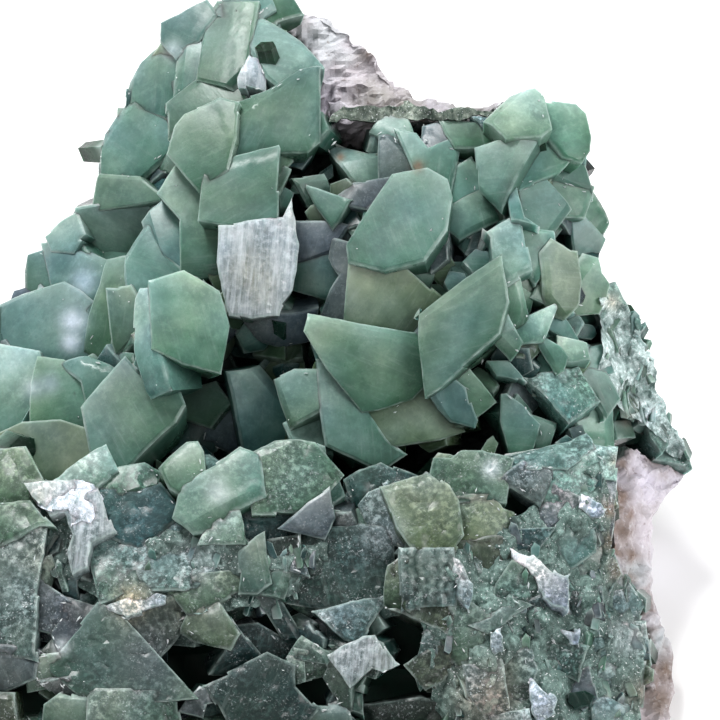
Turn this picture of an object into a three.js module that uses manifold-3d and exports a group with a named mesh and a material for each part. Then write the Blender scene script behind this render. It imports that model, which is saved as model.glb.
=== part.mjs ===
// Heulandite specimen: crusts of tabular green crystals on a loose piece of pale rock.
// Millimetres, Z up, flat underside of the rock on Z = 0.
import * as THREE from "three";
import { ConvexGeometry } from "three/addons/geometries/ConvexGeometry.js";
import { mergeVertices } from "three/addons/utils/BufferGeometryUtils.js";
import Module from "manifold-3d";

const wasm = await Module();
wasm.setup();

// Driving dimensions.
const FACE_TILT = 40; // degrees by which the crystal face looks up from level
const FACE_HEIGHT = 14; // height of the face's centre above the flat underside
const GAP = 0.3; // clearance between neighbouring pieces
const FACE_SHARE = 0.984; // outer faces are drawn edge to edge, and drawn in by this share to part them
const ROOT_SHARE = 0.85; // a crystal's buried root, as a share of its drawn outline
const SLIVER = 0.035; // facets thinner than this are merged into their neighbours
const REACH = 60; // long enough to pass through the whole specimen

// The crystal face has its own frame: x to the right, y up the face, z out of it.
// Each crystal is one row: depth z at its middle, the slope of its outer face along x and along y,
// its thickness, and the outline of that face as x, y, x, y and so on.
const LEFT_CRYSTALS = [
  [-6.5, 0.5, -0.5, 3, [-10.2, 17.2, -9.2, 17.6, -8.2, 18.2, -7.6, 17.3, -8.4, 16, -9.4, 15.3, -10.2,
    16.2]],
  [-7, 0.6, -0.3, 3, [-11.3, 15.3, -10.3, 16.2, -9.3, 15.1, -9.6, 13.4, -10.6, 12.5, -12.2, 13, -12,
    14.3]],
  [-6.5, 0.5, -0.3, 3, [-13.2, 11.6, -12.2, 13.1, -10.5, 12.6, -9.7, 12, -9.6, 10.4, -11, 9.2, -13.3,
    9.6]],
  [-5.5, 0.5, -0.1, 3, [-13.5, 9.5, -11.2, 9.3, -10.2, 8.5, -10.4, 8, -13, 7.6, -13.8, 7.8]],
  [-5.3, 0.3, -0.4, 2.5, [-9.4, 15.2, -8.3, 16.1, -7.8, 14.5, -8.4, 13.6, -9.6, 13.4]],
  [-4, 0.3, -0.4, 2.5, [-8.3, 14.3, -6.6, 13.9, -6.3, 13.2, -7.2, 13.2, -8.6, 12.6, -9.5, 12, -9.6, 13.3]],
  [-6.6, 0.1, -0.7, 3, [-7.6, 17.8, -6.6, 19.2, -5, 19.5, -4.3, 18, -5.2, 17.3, -6.6, 17.5]],
  [-6.8, -0.2, -0.6, 2.6, [-5, 18.6, -3.6, 18.9, -2.8, 17.6, -4.1, 17.1, -5.1, 17.4]],
  [-5, 0.35, -0.6, 3, [-8, 16.3, -7.3, 17.4, -6.9, 18.3, -5.2, 18.3, -5.6, 15.5, -6.2, 14.2, -6.6, 13.8,
    -8.3, 14.2]],
  [-4.5, 0, -0.7, 2.6, [-5.7, 16.6, -4.2, 17.1, -3, 16.3, -2, 15.1, -3.7, 14.2, -4.7, 15]],
  [-3.4, 0.2, -0.5, 2, [-6.2, 14.1, -5.6, 15.4, -4.9, 15.2, -4.7, 14.4, -4.75, 13.6, -6.1, 13.5]],
  [-1.8, -0.05, -0.35, 3.4, [-6.2, 13.3, -4.6, 13.7, -3, 14.8, -1.95, 14.9, -1.95, 11, -2.6, 10.4, -4,
    10.6, -6, 10.6]],
  [-1, 0.25, -0.35, 3.4, [-9.4, 10.3, -8.9, 12, -8.5, 12.5, -7.2, 13.1, -6.3, 12.9, -6.3, 11, -6.6, 9.5,
    -7.9, 8.5]],
  [0.3, 0.1, -0.3, 3.2, [-8.1, 7, -7.9, 9, -6.4, 10.1, -4.4, 10.6, -4, 9.8, -4.05, 7.8, -4.5, 7.1, -7,
    6.8]],
  [1.3, 0.02, -0.15, 3, [-7.1, 6.7, -5, 7.05, -3.9, 7.2, -3.4, 8.2, -3, 5.8, -3.05, 4.9, -3.3, 3.5, -4,
    2.2, -5.4, 2, -6.6, 2.1, -7.2, 4.8]],
  [-1.2, 0.1, -0.2, 3, [-10.2, 8.4, -9.5, 9.6, -8, 8.5, -8.1, 7, -7.3, 6.7, -7.3, 5, -9, 4.5, -9, 7]],
  [-6.3, 0.15, 0.2, 2, [-14.1, 7.4, -12, 7.8, -10.4, 8, -11, 7, -11.8, 5.4, -12.9, 5.2, -13.4, 5.3, -14,
    6.2]],
  [-6.5, 0.6, -0.3, 2.6, [-16.1, 6.3, -15.3, 7.1, -14.4, 7.6, -14, 6.5, -14.5, 5.7, -15.9, 5.8]],
  [-5.6, 0.5, -0.35, 2.6, [-15.8, 5.4, -14.2, 5.5, -13.4, 5.1, -13.05, 4.4, -13.5, 3.2, -14.9, 4, -15.4,
    4]],
  [-7, 0.7, -0.3, 2.6, [-17.2, 3.6, -17.2, 4.6, -17, 5.4, -16.2, 5.7, -15.8, 5.5, -15.5, 4, -16, 3.8]],
  [-5, 0.45, -0.35, 3.2, [-18.6, 2.9, -17.3, 3.4, -15.2, 3.85, -14.4, 3.4, -13.7, 2.8, -14, 0.3, -15,
    0.1, -16.2, 0.2, -18.6, 1.8]],
  [-2.8, 0.5, -0.1, 3, [-13, 5, -11.8, 5.2, -12, 3.8, -12.8, 1.5, -13.2, 0.2, -13.9, 0.4, -13.6, 2.2,
    -13.1, 3.8]],
  [-1.2, 0.35, 0, 3, [-12.8, 3.6, -11.9, 3.7, -11.4, 3, -11.4, 1, -12.3, 0.1, -12.5, 0.8]],
  [-1.6, 0.3, -0.3, 3, [-11.9, 5.3, -11, 6.8, -10, 5, -9.3, 4.5, -10.2, 4, -11.2, 3.5, -11.8, 3.9]],
  [-2, 0.1, -0.4, 3, [-11, 7, -9.8, 8, -9, 6.9, -9.1, 4.3, -10.6, 5.7]],
  [2.4, -0.12, -0.15, 3.6, [-10.1, 3.55, -8.1, 4.15, -7, 3.5, -6.5, 1.7, -6.9, -0.65, -8.8, -0.2, -9.95,
    0.35]],
  [2.25, 0.75, -0.1, 3, [-11.35, 2.8, -11.1, 3.5, -10.1, 3.55, -9.95, 0.35, -9.75, -1.35, -10.8, -1.8,
    -11.25, 0.4]],
  [-4.5, 0.5, -0.2, 3, [-19.5, 0.6, -17, 0.2, -16.5, -1, -16.7, -3.05, -19.5, -3.9]],
  [-2.2, 0.3, -0.2, 3, [-16.2, 0.1, -15.5, 0, -14, -1.1, -13.9, -2.2, -14, -3.3, -16.6, -3, -16.5, -1.2]],
  [-1.5, 0.2, -0.3, 2.6, [-14, 0.2, -13.2, 0, -12.3, -0.3, -13.8, -2, -14, -1.1, -15.4, 0]],
  [-0.8, 0.2, -0.45, 3.2, [-18.8, -4, -16.6, -3.1, -15, -3, -14, -3.3, -13.4, -4.4, -14.7, -5.7, -15.5,
    -5.6, -17, -4.4]],
  [1.6, 0.1, -0.3, 3.4, [-13.7, -2.1, -12.2, -0.35, -10.9, -1.9, -9, -1.4, -8.7, -2.25, -9.1, -3,
    -10.05, -3.9, -11.1, -5, -11.95, -5.25, -12.6, -4.2, -13.25, -4.3]],
  [-6.5, 0.7, -0.3, 3, [-21, 1.8, -18.6, 2.9, -18.4, 0.6, -19.6, 0.5, -21.2, 0.2]],
  [-6, 0.6, -0.2, 3, [-21.5, 0, -19.4, 0.5, -19.2, -3.6, -21.2, -3]],
  [-3.5, 0.5, -0.3, 3, [-21, -3.2, -18.7, -4, -18.4, -4.4, -20.8, -4.6]],
  [-1, 0, 0.5, 2, [-6, 1.8, -4.9, 2.1, -3.6, 2.2, -2.75, 2.4, -2.8, 0.8, -4, 0.6, -5.3, 0.9]],
];

const RIGHT_CRYSTALS = [
  [-2.2, 0, -0.5, 2.6, [-1.65, 11, -1.3, 11.3, -0.5, 10.95, 0.4, 10.5, 1, 10.6, 1, 9.2, -0.4, 8.9, -1.2,
    10]],
  [-2.2, 0.1, -0.6, 2.2, [0.4, 11.6, 1.65, 12.9, 2.4, 12.35, 2.6, 11.8, 1.2, 11.2]],
  [-1.2, 0.1, -0.3, 2.6, [0.9, 11.4, 1.6, 11.7, 1.95, 11, 2.2, 10.2, 2.4, 9.6, 1.6, 9.2, 0.9, 9.2]],
  [-0.8, 0, -0.45, 2.8, [2, 11.3, 3.1, 11, 3.4, 10.6, 4.3, 11, 5, 10.4, 4.7, 9, 3.3, 9.7, 2.4, 10.3]],
  [-1.2, -0.05, -0.5, 2.6, [4.3, 12.2, 6.1, 12.05, 6.6, 11.5, 6.3, 10.9, 5.9, 10.6, 5, 10.6, 4.5, 11.6]],
  [-1.2, -0.1, -0.5, 1.6, [5.9, 12, 6.5, 12, 7.1, 11.6, 7.1, 11.35, 6.5, 11.35]],
  [-1.5, 0.1, -0.5, 2, [3, 11, 3.1, 11.8, 3.9, 12, 4.3, 11.2, 3.5, 10.7]],
  [-0.4, -0.1, -0.55, 3, [6.2, 12.2, 7.5, 13.4, 8.8, 13.7, 9.2, 13.3, 9.6, 11.7, 9.1, 11.3, 7.2, 11.2]],
  [0.2, 0.25, -0.3, 3, [6, 10.6, 7, 11, 8.7, 11.1, 7.5, 9, 6.8, 7.7, 6.2, 8.3]],
  [-1.8, -0.35, -0.4, 3, [9.3, 13.1, 10.9, 12.9, 11.4, 12.4, 11.65, 11.2, 11.6, 10.5, 11.2, 9.9, 10.2,
    10.2, 9.6, 10.9]],
  [-1, -0.15, -0.25, 2.8, [9.6, 10.9, 10.2, 10.05, 9.3, 9.1, 8.15, 8.6, 7.5, 9, 8.7, 10.65]],
  [-1, -0.25, -0.2, 3, [8, 8.5, 9.3, 9, 10.65, 7.5, 9.75, 6.3, 8.3, 7]],
  [-2.5, -0.4, -0.3, 2.6, [9.9, 8.9, 11.8, 8.45, 11.5, 7.5, 10.7, 7.5]],
  [-2.8, -0.5, -0.3, 2.4, [10.3, 10, 11.35, 9.9, 11.8, 8.5, 11, 8.5, 10, 8.9]],
  [-4, -0.6, -0.2, 2.6, [11.9, 8.8, 12.4, 8, 12.75, 7, 12.4, 6.4, 11.3, 7.15, 11.65, 8.05]],
  [-3, -0.4, -0.15, 2.6, [10.6, 7.3, 11.1, 7.1, 12, 6.5, 12.45, 6, 12.1, 5.2, 11.2, 5.3, 10.7, 5.8]],
  [-0.5, 0.3, -0.2, 2.6, [-2.9, 8.9, -1.2, 8.3, -0.6, 7.7, -1, 7, -1.4, 6.5, -1.9, 7.2, -2.4, 7.9]],
  [-0.3, 0.1, -0.3, 2.6, [-1.2, 8.3, -0.4, 8.9, 1, 9.1, 1.6, 9.2, 0.3, 7.5, -0.6, 7.7]],
  [-0.5, 0.2, -0.1, 2.4, [-2.9, 7, -2.2, 7, -1.3, 6.6, -2, 5.4, -2.8, 5.1]],
  [-0.6, 0.1, 0.1, 2.2, [-2.8, 4.6, -1.2, 4.6, -1, 4.1, -1.9, 3, -2.6, 3.2]],
  [0.6, 0.35, -0.1, 2.8, [-1.5, 6.2, -0.4, 5.9, -0.1, 3.2, -0.8, 2, -2, 2.4, -1.4, 3.5, -1, 4.2, -1.6, 5]],
  [1.8, 0.1, -0.35, 3.6, [3.2, 9.6, 4.25, 9, 4.5, 8.1, 4.3, 6.8, 3, 5, 1, 4.5, -0.6, 4.9, -0.7, 5.8,
    0.3, 7.4, 1.6, 9.3]],
  [2, 0.05, 0.05, 3, [-0.6, 4.6, 1, 4.5, 2.6, 4.4, 3.95, 3.3, 2.6, 2.6, 2, 1.6, 0.2, 1.7, -0.8, 2.2]],
  [0, -0.1, -0.3, 2.4, [4.5, 7.3, 5.7, 8, 6.35, 7.1, 6, 6.5, 5, 6, 4.1, 6.6]],
  [-0.3, -0.1, -0.3, 2.4, [4.6, 8.9, 5.4, 9.4, 6.1, 8.4, 6.6, 7.6, 5.7, 8, 4.6, 7.4]],
  [1, 0.2, -0.2, 2, [3.3, 4.9, 3.6, 5.5, 4.4, 5.7, 4.4, 5, 3.9, 4.6, 3.5, 4.3]],
  [3.6, 0.15, -0.12, 2.4, [6.9, 5.4, 7.15, 3.6, 7.15, 2.2, 6.9, 1.3, 3.95, -1.35, 3.2, -1.75, 2.9, 0.7,
    2.85, 2.1, 3.3, 2.7, 5, 4.05]],
  [1.6, -0.1, -0.4, 2.8, [6.5, 6.1, 7.1, 6.95, 7.5, 7.2, 8.2, 6.4, 8.6, 4.5, 7.7, 3.9, 7.1, 3.7, 6.95,
    5.4]],
  [0.6, -0.3, -0.2, 2.4, [8, 6.4, 9, 6.3, 9, 5, 8.7, 4.5, 7.8, 5.9]],
  [0.5, 0, -0.6, 2.2, [7.3, 8.3, 7.9, 8.4, 8.2, 7.2, 9, 6.9, 7.5, 7.1]],
  [2, -0.2, 0, 2.2, [7.5, 3.3, 8.2, 3.4, 8.5, 1.9, 7.8, 1.5, 7.4, 2.2]],
  [2.5, -0.2, 0.1, 1.8, [7.25, 2.4, 7.6, 1.6, 8.05, 0.7, 7.9, 0.4, 7.2, 0.7, 6.6, 1]],
  [0.6, -0.35, -0.15, 3, [9.8, 5.95, 10.4, 5.35, 10.95, 4.85, 11.05, 4, 11, 3.2, 10.7, 2.4, 10.4, 2.1,
    9.7, 2.4, 9.2, 3, 9, 5]],
  [-1.2, -0.5, -0.1, 3, [11.05, 4.9, 11.4, 5.4, 12.05, 5.1, 12.2, 4.4, 12.6, 3.8, 12.4, 3.1, 12, 2.3,
    10.9, 2.2, 11.1, 3.2]],
  [1.5, -0.1, -0.2, 2.2, [7.9, 1.4, 9.7, 2.25, 9.2, 1, 8.3, 0.9]],
  [0.4, -0.2, -0.2, 2.2, [9.7, 2.2, 10.4, 2, 10.9, 1.2, 9.9, 1.2, 9.4, 1.5]],
  [1, -0.1, -0.35, 2.4, [9.8, 1.1, 11.35, 0.75, 11.5, 0.1, 10.75, 0.2, 9.8, 0.55]],
  [1.3, 0, -0.1, 2.2, [8.7, 0.95, 9.8, 0.35, 10.35, -0.05, 10.2, -0.5, 9.8, -0.75, 9.35, -0.1]],
  [1.3, -0.2, -0.4, 2.6, [8.1, -0.75, 9.3, -0.5, 11.2, -0.6, 12, -1.9, 10.3, -3.1, 9.1, -1.7]],
  [2.4, -0.1, -0.1, 2.6, [7, -1.65, 7.3, -1.6, 8.1, -2.2, 9, -3.2, 8.8, -3.9, 7.3, -4.3, 6.95, -3]],
  [1.4, -0.2, -0.1, 2, [8.75, -2.7, 9.9, -3.1, 9.7, -3.7, 9, -4]],
  [-0.5, -0.5, -0.2, 2.4, [11.2, -0.6, 12.2, -0.9, 12.9, -2.2, 12.3, -3, 12, -1.9]],
  [-0.8, -0.4, -0.1, 2.4, [12, -2, 12.9, -2.9, 13, -4.2, 11.9, -4.2, 11.3, -2.9]],
  [-0.8, -0.5, -0.2, 2.4, [11.5, 0.7, 12.3, 0.9, 12.9, -0.6, 12.2, -0.9, 11.3, -0.5]],
  [-4, -0.5, -0.3, 2.6, [12.4, 3, 13.3, 3.3, 14.1, 1.4, 13.8, 0.95, 12.6, 1, 11.9, 2]],
  [-3.8, -0.5, -0.2, 2.6, [12.6, 1, 13.8, 0.95, 14.3, 0.25, 13.95, -0.9, 12.9, -0.7, 12.3, 0.6]],
  [-4.2, -0.4, -0.4, 2.6, [12.9, -0.8, 13.95, -0.9, 15.2, -2, 15.2, -2.4, 14.2, -2.6, 13, -2.1]],
  [-4.8, -0.4, -0.4, 2.4, [14.2, -2.4, 15.3, -2.5, 15.65, -2.9, 15.9, -3.9, 15.3, -4.7, 14.7, -3.9]],
  [-5.5, -0.4, -0.4, 2.2, [15.3, -4.2, 16.2, -4, 16.7, -4.85, 16.95, -5.5, 16.2, -5.3, 15.3, -5.1]],
  [2.9, -0.08, 0.05, 3.2, [-2.2, 2, 0.75, 1.4, 2.85, 1, 3, -1.4, 2.4, -2, 0.9, -2.5, 0.1, -2.6, -1.7,
    -0.4, -2.5, 0.9]],
  [-0.2, -0.2, 0.15, 2.4, [-6.5, -0.6, -6.3, -1.8, -6.1, -3.2, -5.9, -4.2, -5, -4.2, -4, -3.8, -3.4,
    -3.3, -4, -2.2, -4.4, -0.9, -4.9, -0.3]],
  [2, 0.35, -0.2, 3, [-4.4, -0.9, -3.3, -0.4, -2.1, -0.4, -1.9, -2.5, -3.6, -3.4, -4.1, -2]],
  [2.6, -0.1, -0.1, 3.2, [-2.1, -0.4, -1.4, -0.6, -1, -1.4, 0.1, -3, 1, -4.3, 1.5, -4.55, 0.4, -5.1,
    -0.2, -5, -1.3, -4.5, -1.8, -3.8, -2, -2.4]],
  [1.6, 0, -0.3, 2.2, [-3.6, -3.4, -1.9, -2.5, -1.75, -3.9, -3.4, -3.9]],
  [2.2, -0.1, -0.1, 2.8, [0.15, -2.8, 2.4, -2, 3.3, -1.85, 4.2, -2.7, 4.75, -3.75, 4, -4, 1.3, -4.4]],
  [2.6, -0.1, -0.1, 2.4, [3.6, -1.7, 4.6, -1.1, 5.1, -1.5, 5.6, -2.2, 5.9, -3, 5.75, -3.4, 4.6, -3.1, 4,
    -2.4]],
  [2.2, -0.1, -0.1, 2.2, [4.9, -0.9, 5.5, -0.4, 6.85, -2.1, 6.4, -2.45, 5.3, -1.4]],
  [1.8, -0.1, -0.2, 2.2, [6.3, 0, 7.4, 0, 8.1, -0.8, 8.3, -1.1, 6.8, -0.8]],
  [1.2, -0.3, 0.2, 2, [4.2, -1.1, 5, -0.3, 6.2, 0.5, 6.9, 1.2, 6.3, 0, 5.5, -0.4, 4.9, -0.9]],
];

const FRONT_CRYSTALS = [
  [2, 0.3, -0.4, 3, [-19.5, -4.9, -16.9, -4.7, -16.1, -6.1, -16.8, -6.9, -19.5, -7.1]],
  [3.6, 0.1, -0.5, 2.6, [-14.8, -6, -12.5, -4.4, -12, -5.4, -12.7, -6, -13.6, -6.1]],
  [3.8, 0, -0.5, 2.6, [-12.7, -5.8, -12, -5.5, -10.3, -5.2, -9.85, -5.4, -10, -6.4, -11, -6.6, -12.8,
    -6.5]],
  [4.3, 0.1, -0.4, 2.8, [-9.85, -5.1, -9.3, -4.6, -8.6, -4, -8.05, -4, -7.7, -4.6, -7.6, -5.5, -8.4,
    -6.3, -9.6, -5.6]],
  [5.2, 0.15, -0.35, 3.2, [-9, -6.7, -7.6, -5.6, -6.6, -5, -6.1, -4.8, -5.75, -4.9, -5.5, -6.9, -6.1,
    -7.2, -7, -8.2, -8, -8.3, -9.2, -7.4]],
  [5, -0.1, -0.25, 3.2, [-5.6, -4.9, -4.1, -4.2, -3, -4.3, -1.6, -4.7, -0.8, -5.6, -1.6, -6.3, -3, -7.6,
    -4.7, -7.6, -5, -5.3]],
  [5.4, -0.1, 0, 2.4, [-1.45, -6.25, -1.2, -7.8, -1.5, -8.5, -3.2, -8.1, -2.4, -7.2]],
  [5.8, 0.1, -0.2, 2.4, [-7, -8.1, -6.1, -7.2, -5.9, -8, -5.8, -9, -7.5, -9]],
  [4.6, 0, 0, 2, [-5.5, -7, -4.7, -7.6, -3.1, -7.8, -3.3, -8.5, -5.7, -8.7, -5.8, -7.5]],
  [3.6, -0.1, -0.3, 2.4, [-0.8, -5.8, 0, -5.6, 1.9, -5.3, 2.5, -5.5, 1, -6, 0.5, -6.5, -0.4, -7]],
  [4.6, 0.2, -0.1, 2.6, [0.4, -6.5, 1, -6.1, 1.7, -8.1, 2.5, -9.2, 0.3, -8.3, -0.2, -7.2]],
  [6, -0.05, -0.25, 3.2, [1, -6.1, 3.3, -5.4, 4.2, -6, 4.9, -7.1, 5.1, -8.4, 4.7, -9.2, 2.6, -9.3, 1.8,
    -8.2]],
  [4.4, -0.1, -0.35, 3, [3.5, -5.3, 3.65, -4.7, 4.5, -4.8, 5, -4.4, 6.1, -4.4, 7.3, -4.7, 7.15, -5.2,
    6.9, -6.9, 5.3, -6.9, 4, -5.9]],
  [5, -0.1, -0.2, 2.8, [5, -7.1, 6.9, -7, 7.1, -7.3, 7.7, -7.4, 7.9, -8.5, 6, -8.7, 5.1, -8.9]],
  [4.4, 0.05, -0.3, 2.6, [-12.9, -6.6, -10.9, -6.7, -9.6, -6.3, -9, -7, -9.4, -8.1, -10.6, -9.2, -12,
    -8.6, -12.4, -7.5]],
  [3.6, -0.2, -0.4, 2.8, [7.2, -4.8, 9.5, -4.3, 11.2, -3.4, 11.7, -4.4, 10.3, -5.4, 8.2, -5.4, 7, -6.1]],
  [4, -0.2, -0.25, 2.6, [7.1, -6.1, 8.2, -5.3, 9.6, -5.4, 8.8, -7.1]],
  [4.6, 0.15, -0.4, 2.6, [-16.7, -6.15, -15, -6, -13.1, -5.9, -12.7, -6.8, -12, -8.4, -13.2, -9.05,
    -13.4, -10.2, -14.2, -10.6, -14.5, -9.6, -14.2, -8.7, -14.6, -7.7, -15.3, -7.9, -16.25, -6.9]],
  [4.2, 0.3, -0.35, 2.8, [-19.5, -7.2, -17, -7, -16.2, -7.1, -15.3, -8, -16.5, -8.1, -18, -9, -19.5, -9]],
  [5.4, 0.2, -0.25, 3, [-19.5, -9, -16.5, -8, -15.6, -8.8, -15.9, -10.5, -16.1, -13, -16, -14.6, -17.2,
    -14.4, -19.5, -14.2]],
  [5.4, 0.1, -0.2, 2.6, [-15.6, -10.9, -14.6, -11.6, -14.4, -12.4, -15.2, -13.6, -15.9, -13.5]],
  [5.7, 0.15, -0.3, 2.6, [-14.5, -11.6, -13.2, -12, -14, -13.2, -15, -14.4, -15.3, -13.5, -14.5, -12.4]],
  [6.8, 0.15, -0.3, 3.4, [-13.2, -12.2, -11.4, -12.9, -9.8, -14.6, -8.3, -16.2, -10.4, -16.4, -13.8,
    -16.4, -14.8, -15.6, -14.9, -14.4]],
  [5.9, 0.1, -0.5, 2.6, [-13.1, -12.1, -10.6, -11.2, -9.4, -11.4, -9.4, -12, -11.5, -12.8]],
  [6, -0.1, -0.2, 2.6, [-11.4, -12.9, -9.5, -12, -8.5, -12.3, -9.2, -13.8, -9.7, -14.5]],
  [5.3, 0.05, -0.45, 3, [-12.6, -9.4, -10.6, -9.3, -9.4, -8.2, -7.8, -8.4, -6, -9, -6, -10.6, -8.6, -11,
    -10.6, -11.1, -12.9, -12, -13.15, -11]],
  [5.9, 0.05, -0.3, 2.6, [-9.4, -11.3, -8.6, -11, -6, -10.7, -6, -11.4, -7, -11.8, -8.5, -12.3]],
  [6.5, 0.1, -0.2, 3, [-8.5, -12.4, -7.05, -11.7, -6.6, -12.35, -5.9, -13.4, -6.4, -14.3, -8.2, -13.9,
    -9, -13.4]],
  [5.8, -0.2, 0.1, 2.4, [-6, -13.3, -5.2, -14.3, -5.7, -15, -7, -15, -6.4, -14.2]],
  [6, 0.2, -0.2, 2.6, [-19.5, -14.5, -17, -14.6, -16.1, -14.9, -16.2, -15.8, -17.3, -16.3, -19.5, -16.2]],
  [6.2, 0.1, -0.2, 2.4, [-16, -14.5, -15.2, -14.4, -14.9, -15.6, -15.9, -15.8]],
  [6.3, 0.1, 0.2, 2.2, [-16, -15.9, -14.8, -15.7, -14.2, -16.4, -15.2, -16.5]],
  [6.6, -0.05, 0, 3.2, [1.9, -9.2, 4.3, -9.2, 4.4, -10.5, 4.1, -12.2, 2, -12.4, 1.9, -10.5]],
  [6.3, 0.6, 0, 2.6, [1.3, -10, 1.9, -9.6, 1.9, -12.4, 1.2, -12.3]],
  [6.3, -0.3, -0.1, 2.6, [4.3, -9.3, 5, -9.7, 5.7, -11, 5.5, -12.6, 4.7, -11.8, 4.45, -10.5]],
  [5, 0.05, -0.1, 2.8, [-3.3, -9.1, 0.1, -8.4, 1.1, -8.3, 1.2, -10.5, 0.7, -11.7, -2, -12, -3.4, -12,
    -3.6, -11.2, -2.6, -10.3]],
  [5.8, 0, -0.3, 2.6, [-2.25, -12.5, 0.9, -11.8, 1.1, -12.35, 0.5, -13.3, -1.5, -13.2]],
  [6.8, 0.05, -0.25, 2.8, [-1.7, -14.5, 0.1, -13.5, 0.75, -13.45, 2, -14.95, 1.1, -15.4, 0.6, -15.2,
    -0.5, -16.2]],
  [6.3, 0.2, -0.3, 2.4, [-3.25, -14.5, -2.7, -13.65, -1.6, -14.3, -1.9, -14.7]],
  [6.2, 0, -0.1, 2.2, [-2.8, -14.8, -1.7, -14.9, -1.8, -15.7, -2.65, -15.9]],
  [6.3, 0.1, -0.1, 2, [-3.3, -15, -2.85, -15, -2.8, -15.9, -3.1, -16, -3.4, -15.6]],
  [6.4, 0.3, 0, 2.2, [-1.7, -15, -0.4, -16.3, -0.4, -16.7, -1.1, -16.95, -1.85, -15.7]],
  [5.4, -0.1, 0, 2.4, [-5.2, -11.6, -3.9, -11.7, -2.8, -13.6, -3.8, -13.9]],
  [5.3, 0.1, 0, 2.2, [-4.75, -8.85, -2.95, -8.55, -2.9, -9.2, -3.7, -10.3, -4.4, -10.7]],
  [5.6, 0, -0.2, 2.2, [-3.2, -9.4, -2.6, -10.3, -2.5, -10.6, -3.6, -10.3]],
  [5.8, 0.1, -0.3, 2.4, [-5.1, -11.5, -3.65, -10.5, -3.5, -10.9, -3.8, -11.6]],
  [6.2, 0.1, -0.2, 2.6, [-6, -9.6, -4.85, -8.6, -4.75, -9.7, -4.5, -10.9, -5.2, -11.5, -6, -11.5]],
  [6.8, 0, -0.3, 3.2, [-7, -15.6, -5.8, -15, -4.5, -14.4, -3.2, -15, -3.2, -16, -2, -17, -2.5, -17.6,
    -4, -18.4, -6.6, -18.4, -6.6, -16.8]],
  [5.2, -0.1, 0, 2.2, [-5.7, -13.1, -5, -13, -3.9, -14, -3.3, -14.8, -4.5, -14.4, -5.2, -14.2]],
  [6.4, 0, -0.1, 2.4, [-2, -17.2, -0.5, -17.1, -0.2, -18.4, -2.6, -18.6]],
  [5.2, 0, 0, 2.4, [0.5, -17, 3, -16.6, 4.8, -17, 5.6, -18.5, 0.3, -18.6]],
  [6.6, 0.1, -0.1, 2.6, [-14.8, -16.4, -13.6, -16.5, -13.4, -18.5, -15.8, -18.5, -15.6, -17]],
  [7.2, 0.05, -0.2, 2.8, [-13.2, -16.5, -10.5, -16.5, -8.8, -17.5, -8.6, -18.6, -13.3, -18.6]],
  [6.6, 0.2, -0.1, 2.6, [-19.5, -16.4, -17, -16.5, -16.5, -18.5, -19.5, -18.5]],
  [6.8, 0, -0.3, 2.2, [-8.5, -16.6, -7.9, -16, -7.6, -16.1, -6.9, -16.8, -7.5, -16.9, -7.7, -17.6, -9,
    -17.3]],
  [3, -0.3, -0.2, 2.6, [9.6, -5.5, 10.4, -5.4, 11.8, -4.5, 12.9, -4.6, 12.8, -6, 11.2, -5.9, 10.8, -6.2,
    9.7, -6.7]],
  [3.9, -0.1, -0.1, 2.4, [8.9, -7.2, 9.6, -6.6, 10.2, -6.9, 10.4, -7.6, 9.6, -8.3, 8.3, -8.4]],
  [3.5, -0.1, -0.25, 2.2, [10.7, -7.3, 10.9, -6.5, 11.6, -6.7, 12.45, -7.3, 12.2, -7.75, 11.6, -8,
    10.95, -7.6]],
  [2.6, -0.4, -0.1, 2.4, [12.4, -6.2, 12.9, -6.4, 12.7, -8.4, 12, -8.1, 12.5, -7.3]],
  [4, -0.1, -0.2, 2.6, [9.6, -8.3, 10.6, -7.8, 11.8, -8.2, 11.5, -9.6, 10.8, -10.1, 9.9, -9.9, 9, -9.5]],
  [4.8, 0, -0.1, 2.4, [7.9, -8.6, 9.5, -8.3, 8.7, -9.4, 7.2, -8.9]],
  [5.4, -0.1, -0.3, 2.4, [7.1, -9, 7.9, -9.4, 8.6, -9.5, 10.1, -10.5, 10.5, -10.4, 10.5, -11.3, 10.4,
    -12.4, 9.5, -12.2, 8.8, -11.6, 8.5, -10.8, 7.5, -9.9]],
  [3.4, -0.3, -0.1, 2.4, [11.6, -9.4, 12.4, -8.7, 12.9, -10.2, 12.3, -11.2, 11.1, -11, 10.9, -10.2]],
  [4.2, -0.2, -0.1, 2.4, [10.6, -11.2, 12, -11.2, 12.1, -12.4, 11.4, -13, 10.7, -12.8, 10.4, -12.3]],
  [2.6, -0.4, -0.1, 2.4, [12.1, -11.3, 13.4, -11, 14.3, -12.2, 14, -13, 12.7, -12.9, 12, -12.4]],
  [4.9, -0.05, -0.3, 2.2, [9.65, -13.2, 11, -13.1, 10.95, -14.25, 10.3, -14.1]],
  [4.2, 0, -0.3, 1.8, [11.5, -13.4, 11.8, -13, 12.05, -13.4, 11.9, -13.7]],
  [4, -0.2, -0.1, 2.4, [11, -13.2, 12.3, -12.9, 12.8, -14.3, 11.8, -15.5, 11.1, -15]],
  [2.8, -0.4, -0.1, 2.4, [12.9, -13, 14.3, -13, 14.6, -14.8, 13.2, -15.4, 12.6, -14.3]],
  [5, 0, -0.2, 2.4, [9.3, -13.4, 10.2, -14.3, 11, -14.6, 10.6, -15.9, 9.3, -15.4, 8.4, -14.3]],
  [3.4, -0.3, -0.1, 2.4, [12, -15.4, 13.2, -15.2, 14.4, -15, 14.3, -16.5, 12.6, -16.8, 11.6, -16.3]],
  [4.6, -0.1, -0.2, 2.2, [10.5, -16, 11.4, -15.7, 11.6, -16.5, 10.8, -17.2, 10.2, -16.8]],
  [4.2, -0.2, -0.2, 2.4, [11.4, -17.1, 12.4, -16.9, 13.6, -17.4, 13.2, -18.6, 11.6, -18.6]],
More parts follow.
